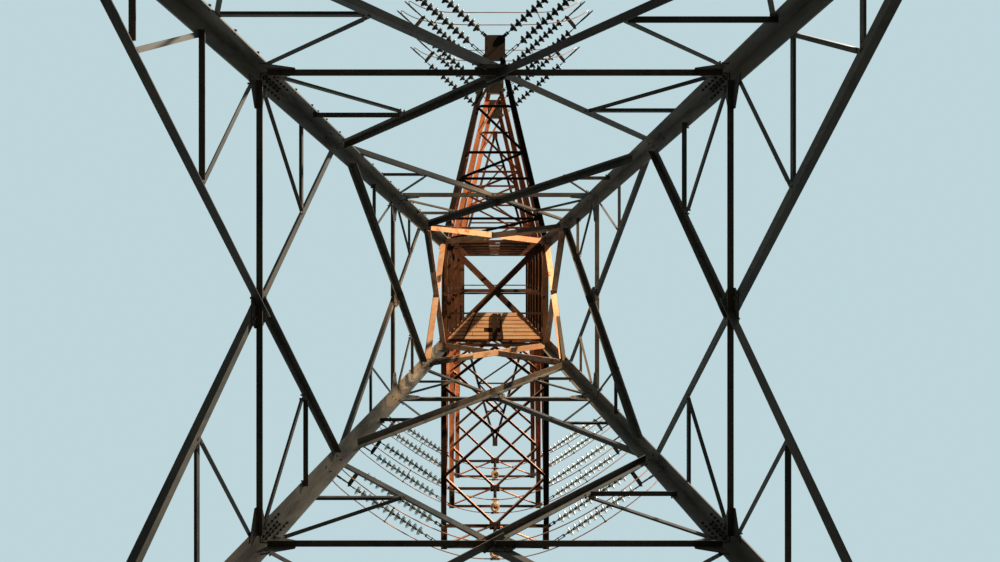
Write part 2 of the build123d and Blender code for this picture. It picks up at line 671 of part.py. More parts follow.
ties = []
for level, name in zip(ARM_LEVELS, ARM_NAMES):
    seat = CAGE_LEVELS[level]
    write(f"pointed_arm_{name}", pointed_arm(level))
    write(f"square_arm_{name}", square_arm(level))
    eye = (POINTED_REACH - STRING_EDGE, TIP_HALF - EYE_SIZE / 2, seat)
    strings = tension_set(eye, 1, POINTED_AZIMUTH, POINTED_LINK)
    write(f"pointed_strings_{name}", [strings, mirrored_y(strings)])
    eye = (STRING_EDGE - SQUARE_REACH, CAGE_HALF - EYE_SIZE / 2, seat)
    strings = tension_set(eye, -1, SQUARE_AZIMUTH, SQUARE_LINK)
    write(f"square_strings_{name}", [strings, mirrored_y(strings)])
    for shape, routes in (("pointed", POINTED_ROUTES), ("square", SQUARE_ROUTES)):
        write(f"{shape}_jumpers_{name}", [jumper(route, seat, f"{shape} jumper {name}") for route in routes])
    low = chord_top(level)
    pointed_toe = (POINTED_TIP[0], POINTED_TIP[1])
    square_toe = (SQUARE_REACH - ARM_CHORD / 2, SQUARE_LINE)
    tie = arm_tie(POINTED_ROOT, pointed_toe, low, TIE_RISE, POINTED_RUNGS, TIE_TIP_RISE)
    ties += [tie, mirrored_y(tie)]
    tie = mirrored_x(arm_tie((CAGE_HALF, SQUARE_LINE), square_toe, low, TIE_RISE, (*SQUARE_NODES, SQUARE_INNER_BEAM),
                             TIE_TIP_RISE))
    ties += [tie, mirrored_y(tie)]
write("arm_ties", ties)
write("pilot_strings", [pilot_string(-SQUARE_INNER_BEAM, CAGE_LEVELS[level]) for level in ARM_LEVELS])

peak = earth_arm()
write("earth_wire_arms", [peak, mirrored_x(peak)])
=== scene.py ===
"""Lattice pylon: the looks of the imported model, in metres, in the same frame as its solids."""
import math

import bpy
import numpy as np
from mathutils import Matrix, Vector

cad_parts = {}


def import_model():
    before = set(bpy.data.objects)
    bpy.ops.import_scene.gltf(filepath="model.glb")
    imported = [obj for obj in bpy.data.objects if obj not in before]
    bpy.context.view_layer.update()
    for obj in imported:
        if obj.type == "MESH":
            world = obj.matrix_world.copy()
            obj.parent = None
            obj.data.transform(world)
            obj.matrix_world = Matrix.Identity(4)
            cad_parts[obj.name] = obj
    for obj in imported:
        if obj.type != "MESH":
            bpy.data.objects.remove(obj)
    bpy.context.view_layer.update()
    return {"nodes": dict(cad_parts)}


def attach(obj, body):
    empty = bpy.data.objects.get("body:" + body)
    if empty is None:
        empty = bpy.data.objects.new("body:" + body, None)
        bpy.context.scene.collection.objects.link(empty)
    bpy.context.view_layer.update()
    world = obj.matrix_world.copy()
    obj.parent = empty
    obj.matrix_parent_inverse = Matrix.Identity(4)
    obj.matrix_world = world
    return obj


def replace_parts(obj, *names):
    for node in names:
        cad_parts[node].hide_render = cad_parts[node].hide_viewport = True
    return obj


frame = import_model()

# Sizes that the pieces share with the solids
BASE_HALF, CAGE_HALF, CAGE_FOOT = 5.1, 1.56, 23.15
PANELS = ((0.0, 7.7), (7.82, 14.88), (15.1, 21.0))
BATTER = (BASE_HALF - CAGE_HALF) / CAGE_FOOT
SLOPE = math.atan(BATTER)
LEG_WIDTH, LEG_THICK = 0.25, 0.022
CAGE_LEG_WIDTH, CAGE_LEG_THICK = 0.2, 0.018
REDUNDANTS = (0.075, 0.062, 0.055)
BAR_THICK = 0.012
FACE_DEPTH = LEG_THICK * math.cos(SLOPE)
LOWER_NODES = ((0.36, 0.69), (0.375, 0.69), (0.5,))
UPPER_NODES = ((0.5,), (0.5,), (0.5,))
BELT_DROPS, BELT_OUTSIDE = (0.08, 0.08, 0.13), (False, False, True)
OUTER_INSET, INNER_INSET, TOE_INSET = 0.06, 0.172, 0.215
LEG_GUSSET, BELT_GUSSET, SPLICE_REACH = (0.56, 0.3), (0.33, 0.23), (0.06, 0.72)
INNER_DIAGONALS, OUTER_DIAGONALS = (0.13, 0.115, 0.14), (0.13, 0.105, 0.09)
INNER_EDGES, OUTER_EDGES = ((-1, 1), (-1, 1), (1, 1)), (-1, 1)
CAGE_LEVELS = (23.15, 25.1, 27.05, 29.0, 30.95, 32.9, 35.4)
CAGE_BAR, CAGE_THICK = 0.08, 0.008
ARM_HEIGHTS = CAGE_LEVELS[0:6:2]
ARM_NAMES = ("lower", "middle", "upper")
ARM_CHORD, ARM_BAR, ARM_THICK = 0.15, 0.07, 0.012
POINTED_REACH, TIP_LENGTH, TIP_HALF = 7.46, 0.72, 0.295
POINTED_RUNGS = (2.17, 3.33, 4.09, 5.43)
SQUARE_REACH, SQUARE_INNER_BEAM = 7.39, 6.72
SQUARE_NODES = (2.71, 4.01, 5.33)
FOOT_THICK, FOOT_INSET, ANCHOR_HALF_SPACING = 0.04, 0.11, 0.25

POINTED_AZIMUTH, SQUARE_AZIMUTH, STRING_SLOPE = math.radians(50), math.radians(54), math.radians(8)
STRING_SPACING, STRING_EDGE, POINTED_LINK, SQUARE_LINK = 0.46, 0.08, 0.3, 0.4
DISC_PITCH, DISC_COUNT = 0.195, 12
EYE_SIZE, EYE_THICK = 0.15, 0.05
YOKE_LENGTH, YOKE_DEPTH, YOKE_THICK, CLAMP_SPACING = 0.24, 0.13, 0.018, 0.4
TERMINAL_FROM_YOKE, TERMINAL_DROP = 0.41, 0.12
PILOT_CLAMP_LENGTH, PILOT_DROP = 0.06, 1.995

JUMPER_DIAMETER = 0.028
POINTED_ROUTES = (
    ((9.24, 3.106, -0.6241), (9.24, 3.106, -0.78), (9.195, 3.06, -1.035), (9.08, 2.96, -1.25),
     (8.925, 2.8, -1.415), (8.775, 2.57, -1.545), (8.65, 2.27, -1.645), (8.56, 1.91, -1.72),
     (8.5, 1.51, -1.77), (8.47, 1.09, -1.8), (8.458, 0.655, -1.817), (8.455, 0.215, -1.822)),
    ((9.547, 2.849, -0.6241), (9.547, 2.849, -0.78), (9.51, 2.8, -1.03), (9.4, 2.7, -1.24),
     (9.25, 2.54, -1.4), (9.1, 2.32, -1.53), (8.985, 2.04, -1.63), (8.91, 1.71, -1.705),
     (8.872, 1.34, -1.757), (8.858, 0.96, -1.788), (8.855, 0.57, -1.805), (8.855, 0.19, -1.81)),
)
SQUARE_ROUTES = (
    ((-4.707, 4.336, -0.6845), (-4.707, 4.336, -0.85), (-4.75, 4.24, -1.11), (-4.85, 4.02, -1.36),
     (-5.0, 3.73, -1.56), (-5.19, 3.4, -1.715), (-5.4, 3.04, -1.825), (-5.615, 2.66, -1.9),
     (-5.825, 2.27, -1.95), (-6.02, 1.87, -1.98), (-6.195, 1.46, -1.995), (-6.345, 1.04, -2.0),
     (-6.455, 0.62, -2.0), (-6.515, 0.2, -1.995)),
    ((-5.031, 4.571, -0.6845), (-5.031, 4.571, -0.85), (-5.075, 4.48, -1.11), (-5.18, 4.265, -1.365),
     (-5.335, 3.975, -1.57), (-5.53, 3.64, -1.73), (-5.745, 3.28, -1.84), (-5.97, 2.905, -1.915),
     (-6.19, 2.52, -1.96), (-6.395, 2.125, -1.985), (-6.58, 1.72, -1.998), (-6.735, 1.3, -2.003),
     (-6.85, 0.87, -2.002), (-6.908, 0.53, -1.999), (-6.925, 0.19, -1.995)),
)
JUMPER_LENGTHS = (7.785, 7.224, 10.588, 11.147)


def srgb(red, green, blue):
    """A colour from its eight-bit screen values: each is divided by 255 and its screen curve undone."""
    share = np.array([red, green, blue]) / 255
    linear = np.where(share <= 0.04045, share / 12.92, ((share + 0.055) / 1.055) ** 2.4)
    return (*linear.tolist(), 1.0)


def placed(name, data):
    """A new object of the data, in the scene."""
    made = bpy.data.objects.new(name, data)
    bpy.context.scene.collection.objects.link(made)
    return made


class Value:
    """A socket of a finish's node tree. Arithmetic on it adds the Math nodes."""

    def __init__(self, finish, socket):
        self.finish = finish
        self.socket = socket

    def maths(self, operation, *values):
        return self.finish.node("ShaderNodeMath", {"operation": operation}, dict(enumerate(values)))

    def __add__(self, other):
        return self.maths("ADD", self, other)

    def __sub__(self, other):
        return self.maths("SUBTRACT", self, other)

    def __rsub__(self, other):
        return self.maths("SUBTRACT", other, self)

    def __mul__(self, other):
        return self.maths("MULTIPLY", self, other)

    __radd__ = __add__
    __rmul__ = __mul__

    def between(self, low, high):
        """0 below low, 1 above high, and a smooth step from one to the other."""
        settings = {"interpolation_type": "SMOOTHSTEP"}
        return self.finish.node("ShaderNodeMapRange", settings, {0: self, 1: low, 2: high, 3: 0.0, 4: 1.0})


class Finish:
    """One material: its node tree, the coordinates that its patterns read, and its surface shader."""

    def __init__(self, name, **surface):
        self.material = bpy.data.materials.new(name)
        self.material.use_nodes = True
        self.tree = self.material.node_tree
        self.tree.nodes.clear()
        self.surface = self.tree.nodes.new("ShaderNodeBsdfPrincipled")
        output = self.tree.nodes.new("ShaderNodeOutputMaterial")
        self.tree.links.new(self.surface.outputs[0], output.inputs[0])
        for socket, value in surface.items():
            self.surface.inputs[socket.replace("_", " ")].default_value = value
        self.place = self.node("ShaderNodeTexCoord", output="Object")

    def feed(self, socket, value):
        if isinstance(value, Value):
            self.tree.links.new(value.socket, socket)
        else:
            socket.default_value = value

    def node(self, kind, settings=None, inputs=None, output=0, stops=()):
        """Any node: its settings and colour stops are set first, then the values or links of its sockets."""
        made = self.tree.nodes.new(kind)
        for name, value in (settings or {}).items():
            setattr(made, name, value)
        for index, (position, colour) in enumerate(stops):
            ramp = made.color_ramp.elements
            stop = ramp[index] if index < 2 else ramp.new(position)
            stop.position = position
            stop.color = colour
        for socket, value in (inputs or {}).items():
            self.feed(made.inputs[socket], value)
        return Value(self, made.outputs[output])

    def noise(self, scale, detail=4.0, roughness=0.55, stretch=(1, 1, 1)):
        """Cloudy values round a half, with bumps about 1 / scale metres across."""
        place = self.node("ShaderNodeMapping", None, {"Vector": self.place, "Scale": stretch})
        return self.node("ShaderNodeTexNoise", None,
                         {"Vector": place, "Scale": scale, "Detail": detail, "Roughness": roughness})

    def mixed(self, share, first, second):
        """The first colour where share is 0 and the second where it is 1."""
        return self.node("ShaderNodeMix", {"data_type": "RGBA"}, {0: share, 6: first, 7: second}, output=2)

    def finish(self, bump=None, strength=0.3, distance=0.002, **sockets):
        for name, value in sockets.items():
            self.feed(self.surface.inputs[name.replace("_", " ")], value)
        if bump is not None:
            inputs = {"Strength": strength, "Distance": distance, "Height": bump}
            normal = self.node("ShaderNodeBump", None, inputs)
            self.feed(self.surface.inputs["Normal"], normal)
        return self.material


def steel(name, shade, light, rust, rust_from, streaks=0.5):
    """Weathered steel: two shades in broad clouds and upright streaks, with rust that grows out of pits."""
    finish = Finish(name, Specular_IOR_Level=0.25)
    broad = finish.noise(0.7, 3)
    streak = finish.noise(5.0, 3, 0.6, (1, 1, 0.12))
    fine = finish.noise(26.0, 6, 0.65)
    pits = finish.noise(150.0, 3, 0.7)
    tone = (broad * (1 - streaks) + streak * streaks).between(0.36, 0.64)
    spots = (finish.noise(2.6, 7, 0.72) + fine * 0.35).between(rust_from, rust_from + 0.16)
    base = finish.mixed(tone, shade, light)
    base = finish.mixed(fine.between(0.52, 0.75) * 0.35, base, light)
    dirt = (streak + pits * 0.3).between(0.62, 0.85) * 0.5
    base = finish.mixed(dirt, base, (shade[0] * 0.4, shade[1] * 0.4, shade[2] * 0.4, 1))
    colour = finish.mixed(spots, base, rust)
    roughness = 0.52 + fine * 0.18 + spots * 0.2
    return finish.finish(bump=fine * 0.5 + pits * 0.5 + spots * 0.4, strength=0.35, distance=0.0015,
                         Base_Color=colour, Roughness=roughness, Metallic=(1 - spots) * 0.18)


def glass(name, clear, dusty, passing, solid=1.0):
    """Toughened glass discs, dusty in patches, that let some light through."""
    finish = Finish(name, IOR=1.5, Transmission_Weight=passing, Coat_Roughness=0.6, Specular_IOR_Level=0.15,
                    Alpha=solid)
    dust = (finish.noise(9.0, 5, 0.6) + finish.noise(70.0, 3) * 0.4).between(0.6, 0.95)
    colour = finish.mixed(dust, clear, dusty)
    return finish.finish(Base_Color=colour, Roughness=0.35 + dust * 0.3, Coat_Weight=0.1 - dust * 0.1)


def wire():
    """Stranded aluminium: slanting strands in the bump, brown that paints warm light, darker in the grooves.
    """
    finish = Finish("stranded_wire", Specular_IOR_Level=0.4)
    clouds = finish.noise(3.0, 4)
    fine = finish.noise(120.0, 3)
    strands = finish.node("ShaderNodeTexWave", {"wave_type": "BANDS", "bands_direction": "DIAGONAL"},
                          {"Vector": finish.place, "Scale": 34.0, "Distortion": 0.6, "Detail": 1.0})
    # The brown tones paint the warm evening light on the dull grey aluminium
    colour = finish.mixed(clouds.between(0.35, 0.7), srgb(125, 90, 73), srgb(177, 127, 100))
    colour = finish.mixed((1 - strands) * 0.4, colour, srgb(68, 50, 40))
    return finish.finish(bump=strands * 0.7 + fine * 0.3, strength=0.5, distance=0.002, Base_Color=colour,
                         Roughness=0.45 + fine * 0.2, Metallic=0.55 - clouds * 0.2)


def timber():
    """Weathered sawn planks: long grain along the planks, dark knots and stains."""
    finish = Finish("plank_timber", Specular_IOR_Level=0.2)
    grain = finish.noise(42.0, 6, 0.7, (1, 0.06, 1))
    boards = finish.noise(7.0, 2, 0.5, (1.6, 0.15, 1))
    stain = finish.noise(1.9, 4, 0.6)
    colour = finish.mixed(boards.between(0.35, 0.65), srgb(246, 191, 143), srgb(246, 212, 173))
    colour = finish.mixed(grain.between(0.5, 0.74) * 0.5, colour, srgb(162, 105, 70))
    colour = finish.mixed(stain.between(0.58, 0.75) * 0.5, colour, srgb(102, 68, 50))
    return finish.finish(bump=grain, strength=0.6, distance=0.003, Base_Color=colour,
                         Roughness=0.7 + grain * 0.2)


def concrete_floor():
    """The plain pale floor: even to the camera, and darker to the light that bounces off it."""
    finish = Finish("studio_floor", Specular_IOR_Level=0.1, Roughness=0.9)
    seen = finish.node("ShaderNodeLightPath", output="Is Camera Ray")
    clouds = finish.noise(0.4, 3).between(0.3, 0.7)
    pale = finish.mixed(clouds, srgb(196, 201, 202), srgb(199, 204, 205))
    return finish.finish(Base_Color=finish.mixed(seen, srgb(52, 54, 54), pale))


BODY_STEEL = steel("body_steel", srgb(63, 62, 55), srgb(112, 102, 88), srgb(142, 90, 55), 0.8)
LEG_STEEL = steel("leg_steel", srgb(83, 80, 73), srgb(142, 132, 115), srgb(142, 92, 60), 0.82, 0.65)
# Cream steel for the neck flanges: painted warm evening light, a lit copy of the tower's steel
PAINTED_SUNLIT_NECK_STEEL = steel("painted_sunlit_neck_steel", srgb(206, 159, 125), srgb(246, 205, 167), srgb(177, 102, 60), 0.72, 0.4)
CAGE_STEEL = steel("cage_steel", srgb(58, 39, 28), srgb(107, 73, 50), srgb(127, 70, 38), 0.7, 0.35)
ARM_STEEL = steel("arm_steel", srgb(45, 36, 31), srgb(85, 63, 50), srgb(122, 65, 38), 0.72, 0.35)
# Lit and shaded copies of one steel: the orange one paints the low evening sun on parts that face it, the
# near-black one paints shade
PAINTED_SUNLIT_STEEL = steel("painted_sunlit_steel", srgb(149, 102, 73), srgb(221, 154, 112), srgb(177, 92, 50), 0.7, 0.35)
PAINTED_SHADE_STEEL = steel("painted_shade_steel", srgb(28, 24, 22), srgb(50, 42, 37), srgb(80, 48, 33), 0.78, 0.35)
FITTING_STEEL = steel("fitting_steel", srgb(45, 45, 43), srgb(92, 90, 85), srgb(117, 75, 53), 0.86, 0.3)
ZINC_STEEL = steel("zinc_steel", srgb(132, 127, 117), srgb(189, 182, 169), srgb(142, 95, 65), 0.86, 0.3)
DISC_GLASS = glass("disc_glass", srgb(90, 97, 70), srgb(142, 117, 73), 0.3, 0.42)
# A shaded copy of the disc glass, near black and letting no light through: painted shade on backlit strings
PAINTED_SHADE_GLASS = glass("painted_shade_glass", srgb(21, 23, 21), srgb(45, 45, 40), 0.0)
# A lit copy of the disc glass: its warm cream paints the evening light on the pilot bells
PAINTED_SUNLIT_GLASS = glass("painted_sunlit_glass", srgb(246, 213, 176), srgb(246, 215, 177), 0.2)
WIRE = wire()
TIMBER = timber()

UP, DOWN = np.array([0, 0, 1.0]), np.array([0, 0, -1.0])


def table(vectors):
    """One vector or many as an array of rows."""
    return np.atleast_2d(vectors).astype(float)


class Surface:
    """Points and faces that grow piece by piece and end as one object."""

    def __init__(self):
        self.points = []
        self.faces = []
        self.count = 0

    def add(self, points, faces):
        """points is an array (n, 3), faces are lists of indices into it."""
        self.points.append(points)
        self.faces.extend([[self.count + i for i in face] for face in faces])
        self.count += len(points)

    def bars(self, outline, starts, ends, ups=UP, drop=0.0):
        """Straight bars: the outline (m, 2) carried from each start to each end.

        Its y axis points to the up given, made square to the bar, and drop lowers it.
        Point = end of the bar + x * across + (y - drop) * up.
        """
        starts, ends = table(starts), table(ends)
        ups = np.broadcast_to(table(ups), starts.shape)
        outline = np.asarray(outline, float)
        along = unit(ends - starts)
        across = unit(np.cross(ups, along))
        upward = np.cross(along, across)
        ring = outline[:, 0, None] * across[:, None] + (outline[:, 1, None] - drop) * upward[:, None]
        tubes = np.stack([starts[:, None] + ring, ends[:, None] + ring], axis=1)
        for tube in tubes:
            self.add(tube.reshape(-1, 3), prism(len(outline), area_sign(outline)))

    def turned(self, profile, origins, axes, sides, closed=False, phase=0.0):
        """Turned shapes: the profile (n, 2) of radius and height spun about each axis through each origin.

        Point = origin + height * axis + radius * (cos t * e1 + sin t * e2).
        A profile that isn't closed starts and ends with caps.
        """
        origins = table(origins)
        axes = unit(np.broadcast_to(table(axes), origins.shape))
        profile = np.asarray(profile, float)
        helper = np.where(np.abs(axes[:, 2:3]) < 0.9, [[0.0, 0.0, 1.0]], [[1.0, 0.0, 0.0]])
        first = unit(np.cross(helper, axes))
        second = np.cross(axes, first)
        t = phase + np.arange(sides) * 2 * np.pi / sides
        circle = np.cos(t)[:, None] * first[:, None] + np.sin(t)[:, None] * second[:, None]
        rings = (origins[:, None, None] + profile[None, :, None, 1, None] * axes[:, None, None]
                 + profile[None, :, None, 0, None] * circle[:, None])
        n = len(profile)
        faces = []
        for j in range(n if closed else n - 1):
            k = (j + 1) % n
            for i in range(sides):
                beside = (i + 1) % sides
                faces.append([j * sides + i, j * sides + beside, k * sides + beside, k * sides + i])
        if not closed:
            faces.append(list(range(sides))[::-1])
            faces.append([(n - 1) * sides + i for i in range(sides)])
        for ring in rings:
            self.add(ring.reshape(-1, 3), faces)

    def slab(self, ring, step):
        """A flat plate: the corners (n, 3) and the same corners moved by step, with a side from each edge.

        The sum of cross products along the corners tells which way round they run.
        """
        turn = 1 if np.cross(ring, np.roll(ring, -1, axis=0)).sum(axis=0) @ step > 0 else -1
        self.add(np.concatenate([ring, ring + step]), prism(len(ring), turn))

    def bolts(self, radius, low, high, places, axes):
        """Hexagonal bolts through the places, from low to high along their axes."""
        self.turned(((radius, low), (radius, high)), places, axes, 6)

    def object(self, name, material, slot, smooth=False):
        """The finished piece, which rides on the tower."""
        mesh = bpy.data.meshes.new(name)
        mesh.from_pydata(np.concatenate(self.points).tolist(), [], self.faces)
        mesh.materials.append(material)
        mesh.polygons.foreach_set("use_smooth", [smooth] * len(mesh.polygons))
        mesh.update()
        piece = placed(name, mesh)
        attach(piece, "root")
        return piece


def unit(vectors):
    return vectors / np.linalg.norm(vectors, axis=-1, keepdims=True)


def area_sign(outline):
    """1 for an outline that runs anticlockwise and -1 for the other way: the sign of its cross products."""
    x, y = outline[:, 0], outline[:, 1]
    return 1 if np.sum(x * np.roll(y, -1) - np.roll(x, -1) * y) > 0 else -1


def prism(count, turn):
    """The faces of a prism, ends first. Its two rings of count points run one way (1) or the other (-1)."""
    order = list(range(count))
    ends = [order[::-turn], [count + i for i in order[::turn]]]
    return ends + [[i, (i + 1) % count, count + (i + 1) % count, count + i][::turn] for i in order]


def rectangle(x0, x1, y0, y1):
    return [(x0, y0), (x1, y0), (x1, y1), (x0, y1)]


def centred(half_wide, half_thick):
    return rectangle(-half_wide, half_wide, -half_thick, half_thick)


def angle(width, thick, side=1):
    """An angle section under its flat leg, with the other leg at the given side."""
    half = width / 2
    shape = [(-half, 0), (half, 0), (half, -width), (half - thick, -width), (half - thick, -thick),
             (-half, -thick)]
    return [(side * x, y) for x, y in shape]


def free_edge(side, wide, thick):
    """The strip, thick across, along the edge of a bar that wide, at that side."""
    return sorted((side * (wide / 2 - thick), side * wide / 2))


def near_ends(start, end, *steps):
    """Points on the line from start to end, at each step from either end of it."""
    way = unit(end - start)
    return np.array([start + way * step for step in steps] + [end - way * step for step in steps])


def quarter_turned(points, quarter):
    """Points turned about the tower's axis by whole quarters: (x, y) becomes (-y, x) once for each."""
    points = table(points)
    for _ in range(quarter):
        points[:, 0], points[:, 1] = -points[:, 1].copy(), points[:, 0].copy()
    return points


def half_width(z):
    return BASE_HALF - BATTER * z


SLOPE_UP = np.array([-math.sin(SLOPE), 0, math.cos(SLOPE)])
SLOPE_OUT = np.array([math.cos(SLOPE), 0, math.sin(SLOPE)])


def on_slope(y, z, depth=0.0):
    """A point of the sloping face towards +X at its offset y and height z, depth inside the face."""
    y, z = np.broadcast_arrays(np.asarray(y, float), np.asarray(z, float))
    rise = z / math.cos(SLOPE)
    return (np.array([BASE_HALF, 0, 0]) + y[..., None] * np.array([0, 1, 0]) + rise[..., None] * SLOPE_UP
            - depth * SLOPE_OUT)


EYE_HEIGHT, EYE_FORWARD = 1.5, 0.385


def camera():
    """Straight up from the height of an eye, with +Y to the right of the picture and +X to its top."""
    data = bpy.data.cameras.new("camera")
    data.sensor_width = 36
    data.lens = 27
    data.shift_x = 0.005
    data.shift_y = -0.001
    data.clip_end = 500
    eye = placed("camera", data)
    eye.matrix_world = Matrix(((0, 1, 0, EYE_FORWARD), (1, 0, 0, 0), (0, 0, -1, EYE_HEIGHT), (0, 0, 0, 1)))
    bpy.context.scene.camera = eye


def lamp(name, azimuth, elevation, strength, spread, colour):
    """A far lamp whose light comes from there, in degrees."""
    data = bpy.data.lights.new(name, "SUN")
    data.energy = strength
    data.angle = math.radians(spread)
    data.color = colour
    placed(name, data).rotation_euler = (math.radians(90 - elevation), 0, math.radians(azimuth + 90))


def evening_beam():
    """A warm beam from below and the +X +Y side that reaches only the neck, the cage and the arms."""
    data = bpy.data.lights.new("evening", "SPOT")
    data.energy = 240000
    data.spot_size = math.radians(25)
    data.spot_blend = 0.3
    data.shadow_soft_size = 0.5
    data.color = (1.0, 0.71, 0.44)
    light = placed("evening", data)
    light.location = (36, 33, 11)
    way = Vector((-0.6, 0, 28)) - light.location
    light.rotation_euler = way.to_track_quat("-Z", "Y").to_euler()


def world():
    """Soft light from all round, and a pale background for what the camera, gloss and glass see."""
    data = bpy.data.worlds.new("studio")
    data.use_nodes = True
    tree = data.node_tree
    tree.nodes.clear()
    path = tree.nodes.new("ShaderNodeLightPath")
    seen = path.outputs["Is Camera Ray"]
    for ray in ("Is Glossy Ray", "Is Transmission Ray"):
        either = tree.nodes.new("ShaderNodeMath")
        either.operation = "MAXIMUM"
        tree.links.new(seen, either.inputs[0])
        tree.links.new(path.outputs[ray], either.inputs[1])
        seen = either.outputs[0]
    mix = tree.nodes.new("ShaderNodeMixShader")
    tree.links.new(seen, mix.inputs[0])
    soft, pale = (0.92, 0.97, 1.0, 1), srgb(190, 214, 219)
    for socket, colour, strength in ((1, soft, 0.085), (2, pale, 1.0)):
        light = tree.nodes.new("ShaderNodeBackground")
        light.inputs["Color"].default_value = colour
        light.inputs["Strength"].default_value = strength
        tree.links.new(light.outputs[0], mix.inputs[socket])
    output = tree.nodes.new("ShaderNodeOutputWorld")
    tree.links.new(mix.outputs[0], output.inputs[0])
    bpy.context.scene.world = data


def floor(radius=90, sides=96):
    """A round floor under the feet. Point = radius * (cos t, sin t), a millimetre down."""
    t = np.arange(sides) * 2 * np.pi / sides
    ring = np.stack([radius * np.cos(t), radius * np.sin(t), np.full(sides, -0.001)], axis=1)
    mesh = bpy.data.meshes.new("floor")
    mesh.from_pydata(ring.tolist(), [], [list(range(sides))])
    mesh.materials.append(concrete_floor())
    placed("floor", mesh)


bpy.context.scene.view_settings.view_transform = "Standard"
camera()
world()
floor()
lamp("key", 46, 41, 6.0, 4, (1.0, 0.91, 0.8))
lamp("fill", 205, 42, 0.27, 40, (0.85, 0.95, 1.0))
evening_beam()


def jumper(name, half_route, seat, node):
    """A jumper conductor: one smooth line from a clamp's terminal, down and across to the other one."""
    half = np.array(half_route) + [0, 0, seat]
    route = np.concatenate([half, half[::-1] * [1, -1, 1]])
    data = bpy.data.curves.new(name, "CURVE")
    data.dimensions = "3D"
    spline = data.splines.new("NURBS")
    spline.points.add(len(route) - 1)
    for point, place in zip(spline.points, route):
        point.co = (*place, 1)
    spline.order_u = 3
    spline.use_endpoint_u = True
    data.bevel_depth = JUMPER_DIAMETER / 2
    data.bevel_resolution = 2
    data.resolution_u = 6
    data.use_fill_caps = True
    data.materials.append(WIRE)
    piece = placed(name, data)
    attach(piece, "root")
    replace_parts(piece, node)


for seat, arm in zip(ARM_HEIGHTS, ARM_NAMES):
    for shape, routes, lengths in (("pointed", POINTED_ROUTES, JUMPER_LENGTHS[:2]),
                                   ("square", SQUARE_ROUTES, JUMPER_LENGTHS[2:])):
        for which, route, length in zip(("inner", "outer"), routes, lengths):
            jumper(f"{shape}_jumper_{arm}_{which}", route, seat, f"{shape}_jumpers_{arm}")


GLASS_PROFILE = ((0.044, 0.06), (0.08, 0.071), (0.115, 0.09), (0.137, 0.115), (0.14, 0.134), (0.133, 0.14),
                 (0.124, 0.128), (0.113, 0.15), (0.104, 0.15), (0.094, 0.124), (0.082, 0.152),
                 (0.073, 0.152), (0.062, 0.12), (0.044, 0.1))
CAP_PROFILE = ((0.02, 0.0), (0.034, 0.006), (0.05, 0.022), (0.058, 0.055), (0.06, 0.07), (0.05, 0.085),
               (0.03, 0.1), (0.03, 0.15), (0.018, 0.165), (0.018, 0.196))
SLIM_CAP_PROFILE = ((0.016, 0.0), (0.03, 0.008), (0.038, 0.03), (0.038, 0.062), (0.024, 0.078), (0.014, 0.1),
                    (0.014, 0.196))


def string_lines(outer, inner, azimuth, link, mirror):
    """A set's pair of string lines: origins, eyes, the way along, the way across and where discs start."""
    flat = np.array([math.cos(azimuth), math.sin(azimuth), 0])
    along = flat * math.cos(STRING_SLOPE) - [0, 0, math.sin(STRING_SLOPE)]
    side = np.array([-math.sin(azimuth), math.cos(azimuth), 0]) * inner
    shift = -inner * STRING_SPACING / math.tan(azimuth)
    first = np.array(outer) - [0, 0, EYE_THICK / 2]
    origins = np.array([first, first + side * STRING_SPACING])
    eyes = origins + flat * np.array([[0], [shift]])
    start = link + max(shift, 0)
    flip = np.array([1, mirror, 1])
    return origins * flip, eyes * flip, along * flip, side * flip, start


